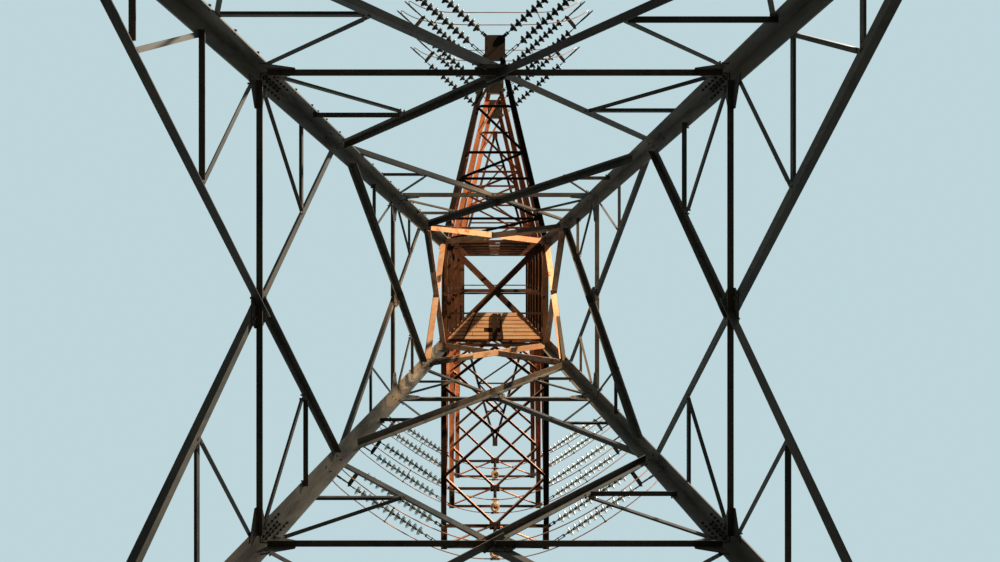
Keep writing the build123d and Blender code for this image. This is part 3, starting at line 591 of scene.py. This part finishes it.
def tension_strings(name, outer, inner, azimuth, link, node, glassy, cap, fitting):
    """Pairs of glass strings, from eyes under an arm to a yoke plate with two dead-end clamps."""
    glassware, metal = Surface(), Surface()
    for mirror in (1, -1):
        origins, eyes, along, side, start = string_lines(outer, inner, azimuth, link, mirror)
        steps = start + DISC_PITCH * np.arange(DISC_COUNT)
        places = (origins[:, None] + steps[None, :, None] * along).reshape(-1, 3)
        glassware.turned(GLASS_PROFILE[::-1], places, along, 22, closed=True)
        metal.turned(cap, places, along, 10)
        discs_to = start + DISC_PITCH * DISC_COUNT
        yoke_from = discs_to + EYE_SIZE
        yoke_to = yoke_from + YOKE_LENGTH
        for origin, eye in zip(origins, eyes):
            reach = origin + along * start
            way = unit(reach - eye)
            hook = eye + way * 0.1
            metal.bars(centred(0.045, 0.008), eye - [0, 0, 0.02], hook + way * 0.05)
            for shift in (-0.03, 0.03):
                metal.bars(centred(0.006, 0.022), hook + side * shift - way * 0.02,
                           reach - way * 0.1 + side * shift)
            metal.bolts(0.016, -0.05, 0.05, [hook, (hook + reach) / 2, reach - way * 0.12], side)
            clevis = (0.014, 0.0), (0.024, 0.02), (0.024, 0.05), (0.014, 0.07)
            metal.turned(clevis, reach - way * 0.14, way, 8)
            metal.bars(centred(0.0125, 0.0125), reach - way * 0.1, reach)
            end = origin + along * (yoke_from + 0.03)
            socket = (0.012, 0.0), (0.022, 0.02), (0.022, 0.07), (0.012, 0.09)
            metal.turned(socket, origin + along * discs_to, along, 8)
            metal.bars(centred(0.01, 0.025), origin + along * (discs_to + 0.05), end)
            metal.bolts(0.016, -0.04, 0.04, origin + along * (yoke_from + 0.04), UP)
        middle = origins.mean(axis=0)
        near, far = middle + along * (yoke_from + 0.01), middle + along * (yoke_from + YOKE_DEPTH)
        wide, narrow = STRING_SPACING / 2 + 0.07, CLAMP_SPACING / 2 + 0.06
        corners = np.array([near + side * (wide - 0.05), near + side * wide + along * 0.07,
                            far + side * narrow - along * 0.05, far + side * (narrow - 0.05),
                            far - side * (narrow - 0.05), far - side * narrow - along * 0.05,
                            near - side * wide + along * 0.07, near - side * (wide - 0.05)])
        metal.slab(corners - UP * YOKE_THICK / 2, UP * YOKE_THICK)
        for s in (-1, 1):
            origin = middle + side * (s * CLAMP_SPACING / 2)
            jaw = origin + along * (yoke_to - 0.05)
            metal.bolts(0.016, -0.04, 0.04, jaw, UP)
            metal.bolts(0.016, -0.04, 0.04, jaw - along * 0.1, UP)
            metal.bars(centred(0.016, 0.02), jaw - along * 0.11, jaw)
            metal.bars(centred(0.02, 0.018), jaw, jaw + along * 0.13)
            body = ((0.012, 0.0), (0.02, 0.02), (0.03, 0.06), (0.03, 0.3), (0.026, 0.34), (0.022, 0.5),
                    (0.017, 0.55))
            metal.turned(body, jaw + along * 0.12, along, 14)
            pad = origin + along * (yoke_to + TERMINAL_FROM_YOKE)
            metal.bars(centred(0.028, 0.012), pad, pad - [0, 0, TERMINAL_DROP - 0.03], along)
            ferrule = (0.028, 0.0), (0.028, 0.055), (0.02, 0.065)
            metal.turned(ferrule, pad - [0, 0, TERMINAL_DROP - 0.06], DOWN, 12)
            metal.bolts(0.01, -0.03, 0.03, [pad - [0, 0, 0.03], pad - [0, 0, 0.06]], along)
    discs = glassware.object(f"{name}_discs", glassy, "glass_disc", True)
    fittings = metal.object(f"{name}_fittings", fitting, "dark_steel")
    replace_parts(discs, node)
    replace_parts(fittings, node)


SHED_COUNT, SHED_PITCH = 34, 0.046


def pilot_strings():
    """Rods under the square-ended arms, each with a bar, two saddles on the jumpers and two bells."""
    bells_of_glass, rods, metal = Surface(), Surface(), Surface()
    x = -SQUARE_INNER_BEAM
    for top in ARM_HEIGHTS:
        under = top - PILOT_DROP + 0.011
        bar_low = under + PILOT_CLAMP_LENGTH
        rods.bars(centred(0.05, 0.006), (x, 0, top), (x, 0, top - 0.09), (1, 0, 0))
        rods.bars(centred(0.018, 0.01), (x, 0, top - 0.05), (x, 0, top - 0.22), (0, 1, 0))
        socket = (0.016, 0.0), (0.034, 0.02), (0.034, 0.09), (0.024, 0.11)
        rods.turned(socket, (x, 0, top - 0.17), DOWN, 12)
        sheds = top - 0.28 - np.arange(SHED_COUNT) * SHED_PITCH
        rod = [(0.024, top - 0.26)]
        for z in sheds:
            rod += [(0.024, z), (0.052, z - 0.012), (0.05, z - 0.018), (0.024, z - 0.022)]
        rods.turned([(r, top - z) for r, z in rod], (x, 0, top), DOWN, 14)
        low = sheds[-1] - 0.022
        metal.turned(((0.024, 0.0), (0.034, 0.01), (0.034, 0.07), (0.018, 0.09)), (x, 0, low), DOWN, 12)
        metal.bars(centred(0.018, 0.01), (x, 0, low - 0.03), (x, 0, bar_low - 0.16), (0, 1, 0))
        metal.bars(rectangle(-0.028, 0.028, 0, 0.018), (x - 0.23, 0, bar_low), (x + 0.23, 0, bar_low))
        bells = [(x, 0, bar_low + 0.06), (x, 0, bar_low - 0.06)]
        bells_of_glass.turned(GLASS_PROFILE[::-1], bells, DOWN, 22, closed=True)
        metal.turned(CAP_PROFILE[:6] + ((0.02, 0.12),), bells, DOWN, 10)
        for route in SQUARE_ROUTES:
            centre = route[-1][0]
            metal.bars(centred(0.026, 0.008), (centre, 0, bar_low + 0.005), (centre, 0, under), (0, 1, 0))
            t = np.linspace(-0.5, np.pi + 0.5, 9)
            shell = [(math.cos(a) * 0.038, math.sin(a) * 0.038) for a in t]
            inner = [(math.cos(a) * 0.014, math.sin(a) * 0.014) for a in t[::-1]]
            middle = top - PILOT_DROP
            metal.bars(shell + inner, (centre, -0.12, middle), (centre, 0.12, middle))
            bolts = [(centre, y, middle + 0.035) for y in (-0.055, 0.055)]
            metal.bolts(0.012, -0.012, 0.02, bolts, UP)
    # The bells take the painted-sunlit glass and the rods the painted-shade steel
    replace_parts(bells_of_glass.object("pilot_discs", PAINTED_SUNLIT_GLASS, "glass_disc", True), "pilot_strings")
    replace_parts(rods.object("pilot_rods", PAINTED_SHADE_STEEL, "dark_steel"), "pilot_strings")
    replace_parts(metal.object("pilot_fittings", ZINC_STEEL, "dark_steel"), "pilot_strings")


def spacers():
    """Short bars with a clamp at each end, which keep the two conductors of a jumper apart."""
    metal = Surface()
    for seat in ARM_HEIGHTS:
        for routes, index, mirrors in ((POINTED_ROUTES, 7, (-1,)), (SQUARE_ROUTES, 7, (1, -1)),
                                       (POINTED_ROUTES, 8, (1,))):
            for mirror in mirrors:
                first, second = ((route[index] + UP * seat) * [1, mirror, 1] for route in routes)
                way = unit(second - first)
                metal.bars(centred(0.012, 0.008), first + way * 0.02, second - way * 0.02)
                for place in (first, second):
                    metal.turned(((0.02, -0.03), (0.024, -0.02), (0.024, 0.02), (0.02, 0.03)), place,
                                 np.cross(way, UP), 10)
    return metal.object("jumper_spacers", FITTING_STEEL, "dark_steel")


for seat, arm in zip(ARM_HEIGHTS, ARM_NAMES):
    # The pointed arms' strings take the painted-shade glass and the painted-shade steel
    tension_strings(f"pointed_{arm}", (POINTED_REACH - STRING_EDGE, TIP_HALF - EYE_SIZE / 2, seat), 1,
                    POINTED_AZIMUTH, POINTED_LINK, f"pointed_strings_{arm}", PAINTED_SHADE_GLASS, CAP_PROFILE,
                    PAINTED_SHADE_STEEL)
    tension_strings(f"square_{arm}", (STRING_EDGE - SQUARE_REACH, CAGE_HALF - EYE_SIZE / 2, seat), -1,
                    SQUARE_AZIMUTH, SQUARE_LINK, f"square_strings_{arm}", DISC_GLASS, SLIM_CAP_PROFILE,
                    FITTING_STEEL)
pilot_strings()
spacers()


def crossing_height(low, high):
    """Where a panel's diagonals cross: low + (high - low) * w(low) / (w(low) + w(high)) for half width w."""
    return low + (high - low) * half_width(low) / (half_width(low) + half_width(high))


def all_faces(points):
    """Points or directions of the +X face, repeated on the four faces of the tower."""
    return np.concatenate([quarter_turned(points, quarter) for quarter in range(4)])


def outward(direction, count):
    """The direction in which each of count points on every face looks out."""
    return all_faces(np.tile(direction, (count, 1)))


def on_face_bars(surface, outline, starts, ends, drop=0.0):
    """Bars between points (y, z) of the sloping face, that drop inside it, on all four faces."""
    starts, ends = table(starts), table(ends)
    surface.bars(outline, all_faces(on_slope(*starts.T)), all_faces(on_slope(*ends.T)),
                 outward(SLOPE_OUT, len(starts)), drop)


def face_bolts(surface, places, inside, outside, radius=0.017):
    """Bolts at points (y, z) of the sloping face, on all four faces, that far in and out of it."""
    places = table(places)
    surface.bolts(radius, -inside, outside, all_faces(on_slope(*places.T)), outward(SLOPE_OUT, len(places)))


def face_bars(index):
    """The redundant bars of one panel: their ends (y, z), if they are level, their side and their layer.

    Lower left and upper right quarters lie on the legs' outer faces, the other two on the inner faces.
    """
    low, high = PANELS[index]
    cross = crossing_height(low, high)
    for upper in (False, True):
        end = high if upper else low
        for mirror in (1, -1):
            outside = upper == (mirror > 0)
            belt = cross - BELT_DROPS[index]
            target = (mirror * half_width(belt), belt)
            for share in (UPPER_NODES if upper else LOWER_NODES)[index]:
                z = cross + share * (end - cross)
                node = (mirror * share * half_width(end), z)
                yield node, (mirror * half_width(z), z), True, mirror, outside
                yield node, target, False, mirror, outside
                target = (mirror * (half_width(z) - TOE_INSET), z)


def lighter_bars():
    """The redundant bars' other legs, with the bolts at their ends.

    A level bar's other leg stands away from the face. A slanting bar's goes through it, to its other side.
    """
    legs = Surface()
    for index, thin in enumerate(REDUNDANTS):
        for start, end, level, mirror, outside in face_bars(index):
            start, end = np.array(start), np.array(end)
            way = unit(end - start)
            reach = abs(abs(end[0]) - half_width(end[1]))
            inset = (OUTER_INSET if outside else INNER_INSET) if level else 0.3
            last = end - way * max(inset - reach, 0.02) / abs(way[0])
            first = start + way * 0.1
            side = mirror * (1 if outside == level else -1)
            if level:
                depth = (BAR_THICK, 1.15 * thin) if outside else (-1.3 * thin, -BAR_THICK)
            else:
                depth = (BAR_THICK - thin, 0) if outside else (0, thin - BAR_THICK)
            drop = 0 if outside else FACE_DEPTH
            on_face_bars(legs, rectangle(*free_edge(side, thin, 0.007), *depth), first, last, drop)
            ends = [start + way * 0.03, start + way * 0.1]
            if level or reach < 0.01:
                grip = OUTER_INSET + 0.05 if outside else INNER_INSET + 0.03
                ends += [end - way * (grip + step) / abs(way[0]) for step in (0, 0.045)]
            face_bolts(legs, ends, drop + (0.012 if outside else BAR_THICK + 0.013), BAR_THICK + 0.013,
                       0.014)
    return legs.object("redundant_legs", BODY_STEEL, "dark_steel")


def crossing_laps():
    """The angles run on past their crossing: each quarter's section carried over the middle of its face."""
    metal = Surface()
    for index, (low, high) in enumerate(PANELS):
        middle = np.array([0, crossing_height(low, high)])
        for upper in (0, 1):
            end = high if upper else low
            for mirror in (1, -1):
                outside = (upper == 1) == (mirror > 0)
                wide = (OUTER_DIAGONALS if outside else INNER_DIAGONALS)[index] + 0.002
                edge = (OUTER_EDGES if outside else INNER_EDGES[index])[upper] * mirror
                way = unit(np.array([mirror * half_width(end), end]) - middle)
                reach = 0.1 if outside else 0.13
                out = 1 if outside else -1
                flat, standing = (sorted((-0.001 * out, depth * out)) for depth in (0.013, wide))
                for outline in (rectangle(-wide / 2, wide / 2, *flat),
                                rectangle(*free_edge(edge, wide, 0.014), *standing)):
                    on_face_bars(metal, outline, middle - way * reach, middle + way * 0.12,
                                 0 if outside else FACE_DEPTH)
    return metal.object("crossing_laps", BODY_STEEL, "dark_steel")


def leg_joints():
    """Splice plates inside the legs at the middle belts, and the bolts of the joints and belt plates."""
    metal, dark = Surface(), Surface()
    for index in range(3):
        low, high = PANELS[index]
        cross = crossing_height(low, high)
        belt = cross - BELT_DROPS[index]
        for z in (belt, high - 0.3):
            for mirror in (1, -1):
                if index == 2 or z != belt:
                    places = [(mirror * (half_width(z + step) - 0.1), z + step) for step in (-0.25, 0.25)]
                    face_bolts(metal, places, FACE_DEPTH + 0.02, 0.016)
                    continue
                rows = [(0.075 + 0.09 * side, 0.14 + 0.105 * i + 0.05 * side) for i in range(5)
                        for side in (0, 1)]
                places = [(mirror * (half_width(z + step) - row), z + step) for row, step in rows]
                face_bolts(dark, places, FACE_DEPTH + 0.034, 0.016, 0.02)
                lower, upper = ((mirror * (half_width(z + step) - 0.143), z + step) for step in SPLICE_REACH)
                on_face_bars(metal, rectangle(-0.12, 0.12, -0.012, 0), lower, upper, FACE_DEPTH)
        rows = [(mirror * (half_width(belt) - step), belt + rise) for mirror in (1, -1)
                for step in (0.3, LEG_GUSSET[0] - 0.06) for rise in (0, 0.07)]
        inside, outside = (0.016, 0.03) if BELT_OUTSIDE[index] else (FACE_DEPTH + 0.03, 0.0)
        face_bolts(metal, rows, inside, outside, 0.015)
        half, rise = (size * (1 - 0.15 * index) for size in BELT_GUSSET)
        middle = cross - BELT_DROPS[index] / 2
        rows = [(x * half, middle + y * rise) for x in (-0.78, -0.42, 0.42, 0.78) for y in (-0.42, 0.42)]
        rows += [(x * half, middle + y * rise) for x in (-0.5, 0.5) for y in (-0.8, 0.8)]
        face_bolts(metal, rows, FACE_DEPTH + 0.028, 0.028, 0.017)
    # The splice bolts take the painted-shade steel: their shade is painted on
    dark.object("splice_bolts", PAINTED_SHADE_STEEL, "dark_steel")
    return metal.object("leg_joints", LEG_STEEL, "dark_steel")


def neck_flanges():
    """The broad standing legs of the neck's crossed pair: one runs on, the other is cut at the crossing."""
    metal = Surface()
    low, high = PANELS[-1][1] + 0.06, CAGE_FOOT - 0.08
    for mirror in (1, -1):
        start, end = np.array([mirror * half_width(low), low]), np.array([-mirror * half_width(high), high])
        way = (end - start) / abs(end[0] - start[0])
        start, end = start + way * (INNER_INSET + 0.01), end - way * (INNER_INSET + 0.01)
        middle = np.array([0, crossing_height(low, high)])
        edge = sorted((mirror * 0.036, mirror * 0.052))
        outline = rectangle(*edge, -0.165, -BAR_THICK)
        cut = (start, middle - way * 0.12), (middle + way * 0.12, end)
        pieces = ((start, end),) if mirror > 0 else cut
        for first, last in pieces:
            on_face_bars(metal, outline, first, last, FACE_DEPTH)
        bolts = [start + way * 0.04, start + way * 0.1, end - way * 0.04, end - way * 0.1]
        face_bolts(metal, bolts, FACE_DEPTH + 0.026, 0.004, 0.015)
    # The cream neck steel paints warm evening light on these flanges
    return metal.object("neck_flanges", PAINTED_SUNLIT_NECK_STEEL, "rusty_steel")


def cage_details():
    """The standing legs of the cage's diagonals, the struts across it, its shelves and its bolts."""
    metal = Surface()
    edge = CAGE_HALF - CAGE_LEG_THICK - CAGE_BAR - 0.01
    inside = CAGE_HALF - CAGE_LEG_THICK - CAGE_THICK
    levels = [CAGE_LEVELS[0] + CAGE_BAR, *CAGE_LEVELS[1:]]
    leg = rectangle(CAGE_BAR / 2 - 0.008, CAGE_BAR / 2, -0.075, 0)
    for low, high in zip(levels, levels[1:]):
        high -= CAGE_BAR
        for side in (1, -1):
            start, end = np.array([inside, -side * edge, low]), np.array([inside, side * edge, high])
            for first, last in ((0.12, 0.44), (0.56, 0.88)):
                metal.bars(leg, all_faces(start + (end - start) * first),
                           all_faces(start + (end - start) * last), outward((1, 0, 0), 1))
            metal.bolts(0.012, -0.014, CAGE_THICK + 0.012, all_faces(near_ends(start, end, 0.05, 0.11)),
                        outward((1, 0, 0), 4))
    for z in CAGE_LEVELS:
        for half in (1, 3):
            ends = (inside, -inside, z - 0.01), (inside, inside, z - 0.01)
            metal.bars(rectangle(-0.006, 0.002, -0.15, -0.07), *quarter_turned((*ends, (1, 0, 0)), half))
        for y in (edge, -edge):
            bolts = [(CAGE_HALF, y + s * 0.035, z + h) for s in (-1, 1) for h in (-0.06, -0.02)]
            metal.bolts(0.013, -0.04, 0.014, all_faces(bolts), outward((1, 0, 0), 4))
    for x, z in ((0.0, CAGE_LEVELS[0] - 0.05), (0.15, CAGE_LEVELS[6] - 0.07)):
        metal.bars(angle(0.05, 0.008), (x, -inside, z), (x, inside, z))
    return metal.object("cage_details", CAGE_STEEL, "rusty_steel")


PLANK_COUNT, PLANK_PITCH, PLANKS_FROM = 7, 0.122, -1.425


def platform():
    """Planks across the -X half of the cage, cut along the plan diagonals, on a frame with a bearer."""
    boards, frame_and_shade_sheet = Surface(), Surface()
    low = CAGE_LEVELS[1] - CAGE_BAR + CAGE_THICK
    reach = CAGE_HALF - CAGE_LEG_THICK - CAGE_THICK - 0.004
    for i in range(PLANK_COUNT):
        x = PLANKS_FROM + i * PLANK_PITCH
        half = min(reach, 0.12 - x)
        cuts = (-half, -half * 0.5 if i % 2 else -half * 0.62, half * 0.14, half)
        for number, (start, end) in enumerate(zip(cuts, cuts[1:])):
            if (i, number) == (2, 1):
                end = -0.34
            lift = 0.0015 * ((3 * i + 2 * number) % 4)
            boards.bars(rectangle(-0.049, 0.049, 0, 0.014), (x, start + 0.006, low + lift),
                        (x, end - 0.006, low + lift))
        # A dark steel sheet just above the planks, a plank's pitch wide, shows in the gaps between planks:
        # painted shade
        frame_and_shade_sheet.bars(rectangle(-0.061, 0.061, 0, 0.005), (x, -half, low + 0.019), (x, half, low + 0.019))
    for y, wide in ((0.0, 0.075), (0.24, 0.03), (-0.98, 0.02)):
        frame_and_shade_sheet.bars(rectangle(-wide, wide, -0.05, 0), (-1.46, y, low), (-0.66, y * 0.62, low))
    edge = reach - 0.032
    for side in (-1, 1):
        for x0, y0, x1, y1, depth in ((-1.45, edge, -0.63, edge, (0, 0.008)),
                                      (-0.66, 0.7, -0.66, reach, (0, 0.008)),
                                      (-0.64, 0.72, -1.42, 1.5, (-0.01, 0))):
            frame_and_shade_sheet.bars(rectangle(-0.03, 0.03, *depth), (x0, side * y0, low), (x1, side * y1, low))
    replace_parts(boards.object("platform_planks", TIMBER, "platform_timber"), "work_platform")
    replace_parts(frame_and_shade_sheet.object("platform_frame_and_shade_sheet", ARM_STEEL, "rusty_steel"), "work_platform")


def square_arms():
    """The square-ended arms: chords, cross beams, angle braces, corner and centre plates and bolts."""
    for low, arm in zip(ARM_HEIGHTS, ARM_NAMES):
        metal, chords, flanges = Surface(), Surface(), Surface()
        top = low + ARM_CHORD
        y = CAGE_HALF - ARM_CHORD / 2
        far, beam = -SQUARE_REACH, -SQUARE_INNER_BEAM
        for s in (1, -1):
            chords.bars(angle(ARM_CHORD, ARM_THICK, -s), (-CAGE_HALF, s * y, top), (far, s * y, top))
            metal.bars(rectangle(-0.095, 0.095, -ARM_THICK, 0), (-CAGE_HALF, s * (CAGE_HALF - 0.095), low),
                       (-CAGE_HALF, s * (CAGE_HALF - 0.095), low + 0.26), (-1, 0, 0), -ARM_THICK)
            metal.bars(rectangle(-0.09, 0.09, 0, ARM_THICK), (far + 0.67, s * (CAGE_HALF - 0.09), low),
                       (far, s * (CAGE_HALF - 0.09), low))
            metal.bars(rectangle(-0.009, 0.009, -0.05, 0.08), (far + 0.5, s * (CAGE_HALF - 0.17), low),
                       (far + 0.05, s * (CAGE_HALF - 0.17), low))
            bolts = [(far + x, s * (CAGE_HALF - w), low) for x in (0.08, 0.24, 0.42, 0.58)
                     for w in (0.05, 0.13)]
            metal.bolts(0.015, -0.016, 0.03, bolts, UP)
        metal.bars(angle(0.08, 0.01, 1), (beam - 0.03, -y, top), (beam - 0.03, y, top))
        metal.bars(angle(0.072, 0.01, 1), (far + 0.036, -y, top), (far + 0.036, y, top))
        metal.bars(rectangle(-0.16, 0.16, 0, 0.012), (beam + 0.12, 0, low), (beam - 0.1, 0, low))
        metal.bars(rectangle(-0.005, 0.005, 0, 0.15), (beam - 0.07, -0.15, low), (beam - 0.07, 0.15, low))
        bolts = [(beam + x, w, low) for x in (-0.03, 0.06) for w in (-0.1, 0, 0.1)]
        metal.bolts(0.014, -0.014, 0.026, bolts, UP)
        route = [(CAGE_HALF, 0), (SQUARE_NODES[0], y), (SQUARE_NODES[1], 0), (SQUARE_NODES[2], y),
                 (SQUARE_INNER_BEAM, 0), (SQUARE_REACH - 0.075, y)]
        for number, ((x0, y0), (x1, y1)) in enumerate(zip(route, route[1:])):
            for s in (1, -1):
                a, b = np.array([-x0, s * y0, top]), np.array([-x1, s * y1, top])
                wide = 0.092 if number < 4 else 0.06
                edge = free_edge(1 if np.cross(UP, b - a)[0] > 0 else -1, wide, 0.008)
                metal.bars(rectangle(-wide / 2, wide / 2, -0.009, 0), a, b)
                flanges.bars(rectangle(*edge, -0.11, -0.009), a + (b - a) * 0.03, b - (b - a) * 0.03)
                metal.bolts(0.013, -0.014, 0.022, near_ends(a, b, 0.1, 0.17) - UP * 0.009, UP)
        # The lower arm's chords take the painted-shade steel, the other chords and all flanges the
        # painted-sunlit steel
        chord_steel = PAINTED_SHADE_STEEL if arm == "lower" else PAINTED_SUNLIT_STEEL
        for surface, bars, material in ((flanges, "flanges", PAINTED_SUNLIT_STEEL), (chords, "chords", chord_steel),
                                        (metal, "bars", ARM_STEEL)):
            piece = surface.object(f"square_arm_{bars}_{arm}", material, "rusty_steel")
            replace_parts(piece, f"square_arm_{arm}")


def arm_legs():
    """The hanging legs of the pointed arms' flat braces, a dark sheet that paints shade under each tip, and
    bolts.
    """
    shaded, lit = Surface(), Surface()

    def brace(metal, a, b):
        edge = free_edge(1 if np.cross(UP, b - a)[0] > 0 else -1, ARM_BAR, 0.008)
        first, last = near_ends(a, b, min(0.12, 0.2 * np.linalg.norm(b - a)))
        metal.bars(rectangle(*edge, -ARM_BAR, -ARM_THICK), first, last)
        metal.bolts(0.013, -0.014, 0.026, near_ends(a, b, 0.05) - UP * ARM_THICK, UP)

    tip = POINTED_REACH - TIP_LENGTH
    root_y, tip_y = CAGE_HALF - CAGE_LEG_WIDTH / 2, TIP_HALF - ARM_CHORD / 2
    for low, arm in zip(ARM_HEIGHTS, ARM_NAMES):
        # A thin near-black sheet under each tip: painted shade
        cover = rectangle(tip + 0.008, POINTED_REACH - 0.002, -0.287, 0.287)
        shaded.slab(np.array([(x, y, low - 0.002) for x, y in cover]), UP * 0.002)
        # The lower arm's legs and bolts take the painted-shade steel, the other arms' the painted-sunlit
        # steel
        metal = shaded if arm == "lower" else lit
        top = low + ARM_CHORD
        stations = (CAGE_HALF, *POINTED_RUNGS, tip)
        for number, (x0, x1) in enumerate(zip(stations, stations[1:])):
            s = 1 if number % 2 else -1
            y0, y1 = (root_y + (tip_y - root_y) * (x - CAGE_HALF) / (tip - CAGE_HALF) for x in (x0, x1))
            brace(metal, np.array([x0, s * y0, top]), np.array([x1, -s * y1, top]))
            if x1 < tip:
                brace(metal, np.array([x1, -y1, top]), np.array([x1, y1, top]))
        bolts = [(x, y, low) for x in (tip + 0.1, tip + 0.36, tip + 0.62) for y in (-0.22, 0.22)]
        metal.bolts(0.016, -0.016, 0.03, bolts, UP)
        for s in (1, -1):
            bolts = [(s * CAGE_HALF, y + w, low + h) for y in (-root_y, root_y) for w in (-0.06, 0.06)
                     for h in (0.04, 0.12, 0.2)]
            metal.bolts(0.014, 0.0, ARM_THICK + 0.014, bolts, (s, 0, 0))
    shaded.object("lower_arm_legs", PAINTED_SHADE_STEEL, "rusty_steel")
    lit.object("upper_arm_legs", PAINTED_SUNLIT_STEEL, "rusty_steel")


STEP_HEIGHTS = np.arange(3.0, 22.8, 0.6)


def feet():
    """Anchor studs with two nuts and a washer on every foot plate, and stiffeners against the legs."""
    metal = Surface()
    centre = BASE_HALF - FOOT_INSET
    steps = (-ANCHOR_HALF_SPACING, ANCHOR_HALF_SPACING)
    spots = all_faces([[centre + dx, centre + dy, FOOT_THICK] for dx in steps for dy in steps])
    metal.turned(((0.038, 0.0), (0.038, 0.006)), spots, UP, 16)
    metal.turned(((0.03, 0.006), (0.032, 0.009), (0.032, 0.033), (0.028, 0.037)), spots, UP, 6)
    metal.turned(((0.029, 0.038), (0.029, 0.056)), spots, UP, 6, phase=0.3)
    metal.turned(((0.018, 0.03), (0.018, 0.088), (0.015, 0.092)), spots, UP, 12)
    foot = half_width(FOOT_THICK)
    lean = BATTER * 0.28
    rib = ((-0.005, 0.04), (0.17, 0.04), (0.17, 0.07), (0.03 - lean, 0.32), (-0.005 - lean, 0.32))
    for step in (0.07, 0.19):
        corners = np.array([(foot + out, foot - step - 0.007, z) for out, z in rib])
        for order in ([0, 1, 2], [1, 0, 2]):
            for quarter in range(4):
                across = quarter_turned(np.array([0, 0.014, 0])[order], quarter)
                metal.slab(quarter_turned(corners[:, order], quarter), across[0])
    bolts = on_slope(LEG_WIDTH - half_width(STEP_HEIGHTS) - 0.02, STEP_HEIGHTS)
    metal.turned(((0.012, -FACE_DEPTH - 0.016), (0.012, 0.03), (0.02, 0.03), (0.02, 0.042)), bolts,
                 SLOPE_OUT, 8)
    return metal.object("anchors_and_steps", BODY_STEEL, "dark_steel")


lighter_bars()
crossing_laps()
leg_joints()
neck_flanges()
cage_details()
platform()
square_arms()
arm_legs()
feet()

for name, node in frame["nodes"].items():
    material = ARM_STEEL
    if "cage" in name:
        material = CAGE_STEEL
    elif name.startswith("leg_"):
        material = LEG_STEEL
    elif "bracing" in name or name == "belt_gussets":
        material = BODY_STEEL
    # The lower pointed arm takes the painted-shade steel, the ties and other pointed arms the painted-sunlit
    # steel
    elif name == "pointed_arm_lower":
        material = PAINTED_SHADE_STEEL
    elif name == "arm_ties" or name.startswith("pointed_arm"):
        material = PAINTED_SUNLIT_STEEL
    node.data.materials.clear()
    node.data.materials.append(material)
